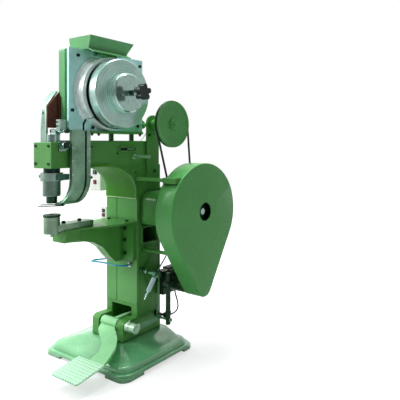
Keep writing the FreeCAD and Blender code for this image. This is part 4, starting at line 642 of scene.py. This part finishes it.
# dark strip in the eyelet channel: painted shade
track_shade_strip("raceway_channel_shade_strip", 0.0168, 0.0074, 0.0052, CHANNEL_SHADE)
round_bar("arm_slot_rod", [(0.1046, -0.052, 0.9262), (0.1046, -0.030, 0.9262), (0.1046, -0.0125, 0.9262)],
          0.0046, GREEN_ROD_LIGHTENED)
cap_screws("arm_side_screws", [(0.1000, -0.1035, 0.9072), (0.1020, -0.0010, 0.8215)], (1, 0, 0),
           0.0042, 0.0030, BOLT_DARK)
cap_screws("mast_bolts", [(0.1120, 0.0745, 0.990), (0.1120, 0.1078, 0.8234)], (1, 0, 0), 0.0062, 0.0045,
           BOLT_DARK)
round_bar("mast_strip", [(0.1000, 0.0640, 0.9960), (0.0960, 0.0540, 0.9800), (0.0900, 0.0413, 0.9640)],
          0.0015, SCREW_BRIGHT)
key_frames("key_frames", [(-0.240, 0.759, 0.0085, 0.0080), (-0.1765, 0.600, 0.0080, 0.0065),
                          (-0.240, 0.808, 0.0120, 0.0085), (-0.1765, 0.621, 0.0080, 0.0060)], BLACK)
ring_mark("black_button_mark", -0.240, KEY_FACE, 0.808, 0.0045, PALE_MARK, "button_black")
ring_mark("black_key_mark", -0.1765, KEY_FACE, 0.621, 0.0032, PALE_MARK, "key_black")


# ---- stage and light ---------------------------------------------------------------------
def stage_floor(s=6.0, sheen=0.30):
    """Pale floor, 2 s across, that looks white to the camera and keeps the object's shadow."""
    me = bpy.data.meshes.new("floor")
    me.from_pydata([(-s, -s, 0), (s, -s, 0), (s, s, 0), (-s, s, 0)], [], [(0, 1, 2, 3)])
    o = bpy.data.objects.new("floor", me)
    scene.collection.objects.link(o)
    m, nt, p = new_mat("floor_white")
    p.inputs["Base Color"].default_value = (0.45, 0.46, 0.46, 1)
    p.inputs["Roughness"].default_value = 0.7
    rays = nt.nodes.new("ShaderNodeLightPath").outputs
    seen = maths(nt, "MAXIMUM", rays["Is Camera Ray"], rays["Is Transmission Ray"])
    shown = maths(nt, "MAXIMUM", seen, maths(nt, "MULTIPLY", rays["Is Glossy Ray"], sheen))
    away = vector_maths(nt, "LENGTH", coords(nt))
    p.inputs["Emission Color"].default_value = (1, 1, 1, 1)
    nt.links.new(maths(nt, "MULTIPLY", shown, ramp(nt, away, 0.5, 3.2, 0.60, 1.0)),
                 p.inputs["Emission Strength"])
    me.materials.append(m)


BACKDROP = (-0.72, 0.60, 0.35)         # direction of the white sweep behind the object
WORLD_DARK, WORLD_PALE = 0.10, 0.44    # light from the room in front of it and from the sweep


def world():
    """White backdrop behind the object; the room in front of it is darker."""
    w = bpy.data.worlds.new("studio")
    scene.world = w
    w.use_nodes = True
    nt = w.node_tree
    bg = nt.nodes["Background"]
    rays = nt.nodes.new("ShaderNodeLightPath").outputs
    seen = maths(nt, "MAXIMUM", rays["Is Camera Ray"], rays["Is Transmission Ray"])
    tc = nt.nodes.new("ShaderNodeTexCoord")
    facing = vector_maths(nt, "DOT_PRODUCT", tc.outputs["Generated"], BACKDROP)
    room = ramp(nt, facing, -0.9, 0.6, WORLD_DARK, WORLD_PALE)
    sweep = ramp(nt, facing, -0.50, 0.50, 0.16, 1.0)
    unseen = mix_float(nt, rays["Is Glossy Ray"], room, sweep)
    bg.inputs["Color"].default_value = (1, 1, 1, 1)
    nt.links.new(mix_float(nt, seen, unseen, 1.0), bg.inputs["Strength"])


def area(name, loc, target, size, energy):
    """Rectangular lamp at loc that faces target; size in metres, energy in watts."""
    lamp = bpy.data.lights.new(name, "AREA")
    lamp.shape = "RECTANGLE"
    lamp.size, lamp.size_y = size
    lamp.energy = energy
    o = bpy.data.objects.new(name, lamp)
    scene.collection.objects.link(o)
    o.location = loc
    o.rotation_euler = (Vector(target) - Vector(loc)).to_track_quat("-Z", "Y").to_euler()
    return o


stage_floor()
world()
area("key", (-2.0, -2.4, 2.9), (0.0, 0.0, 0.7), (1.5, 2.2), 104)
area("top", (-0.4, 0.1, 3.4), (0.0, 0.0, 0.5), (2.0, 1.6), 140)
area("side", (3.2, -0.6, 1.7), (0.1, 0.0, 0.8), (1.2, 2.0), 5)

bpy.context.view_layer.update()
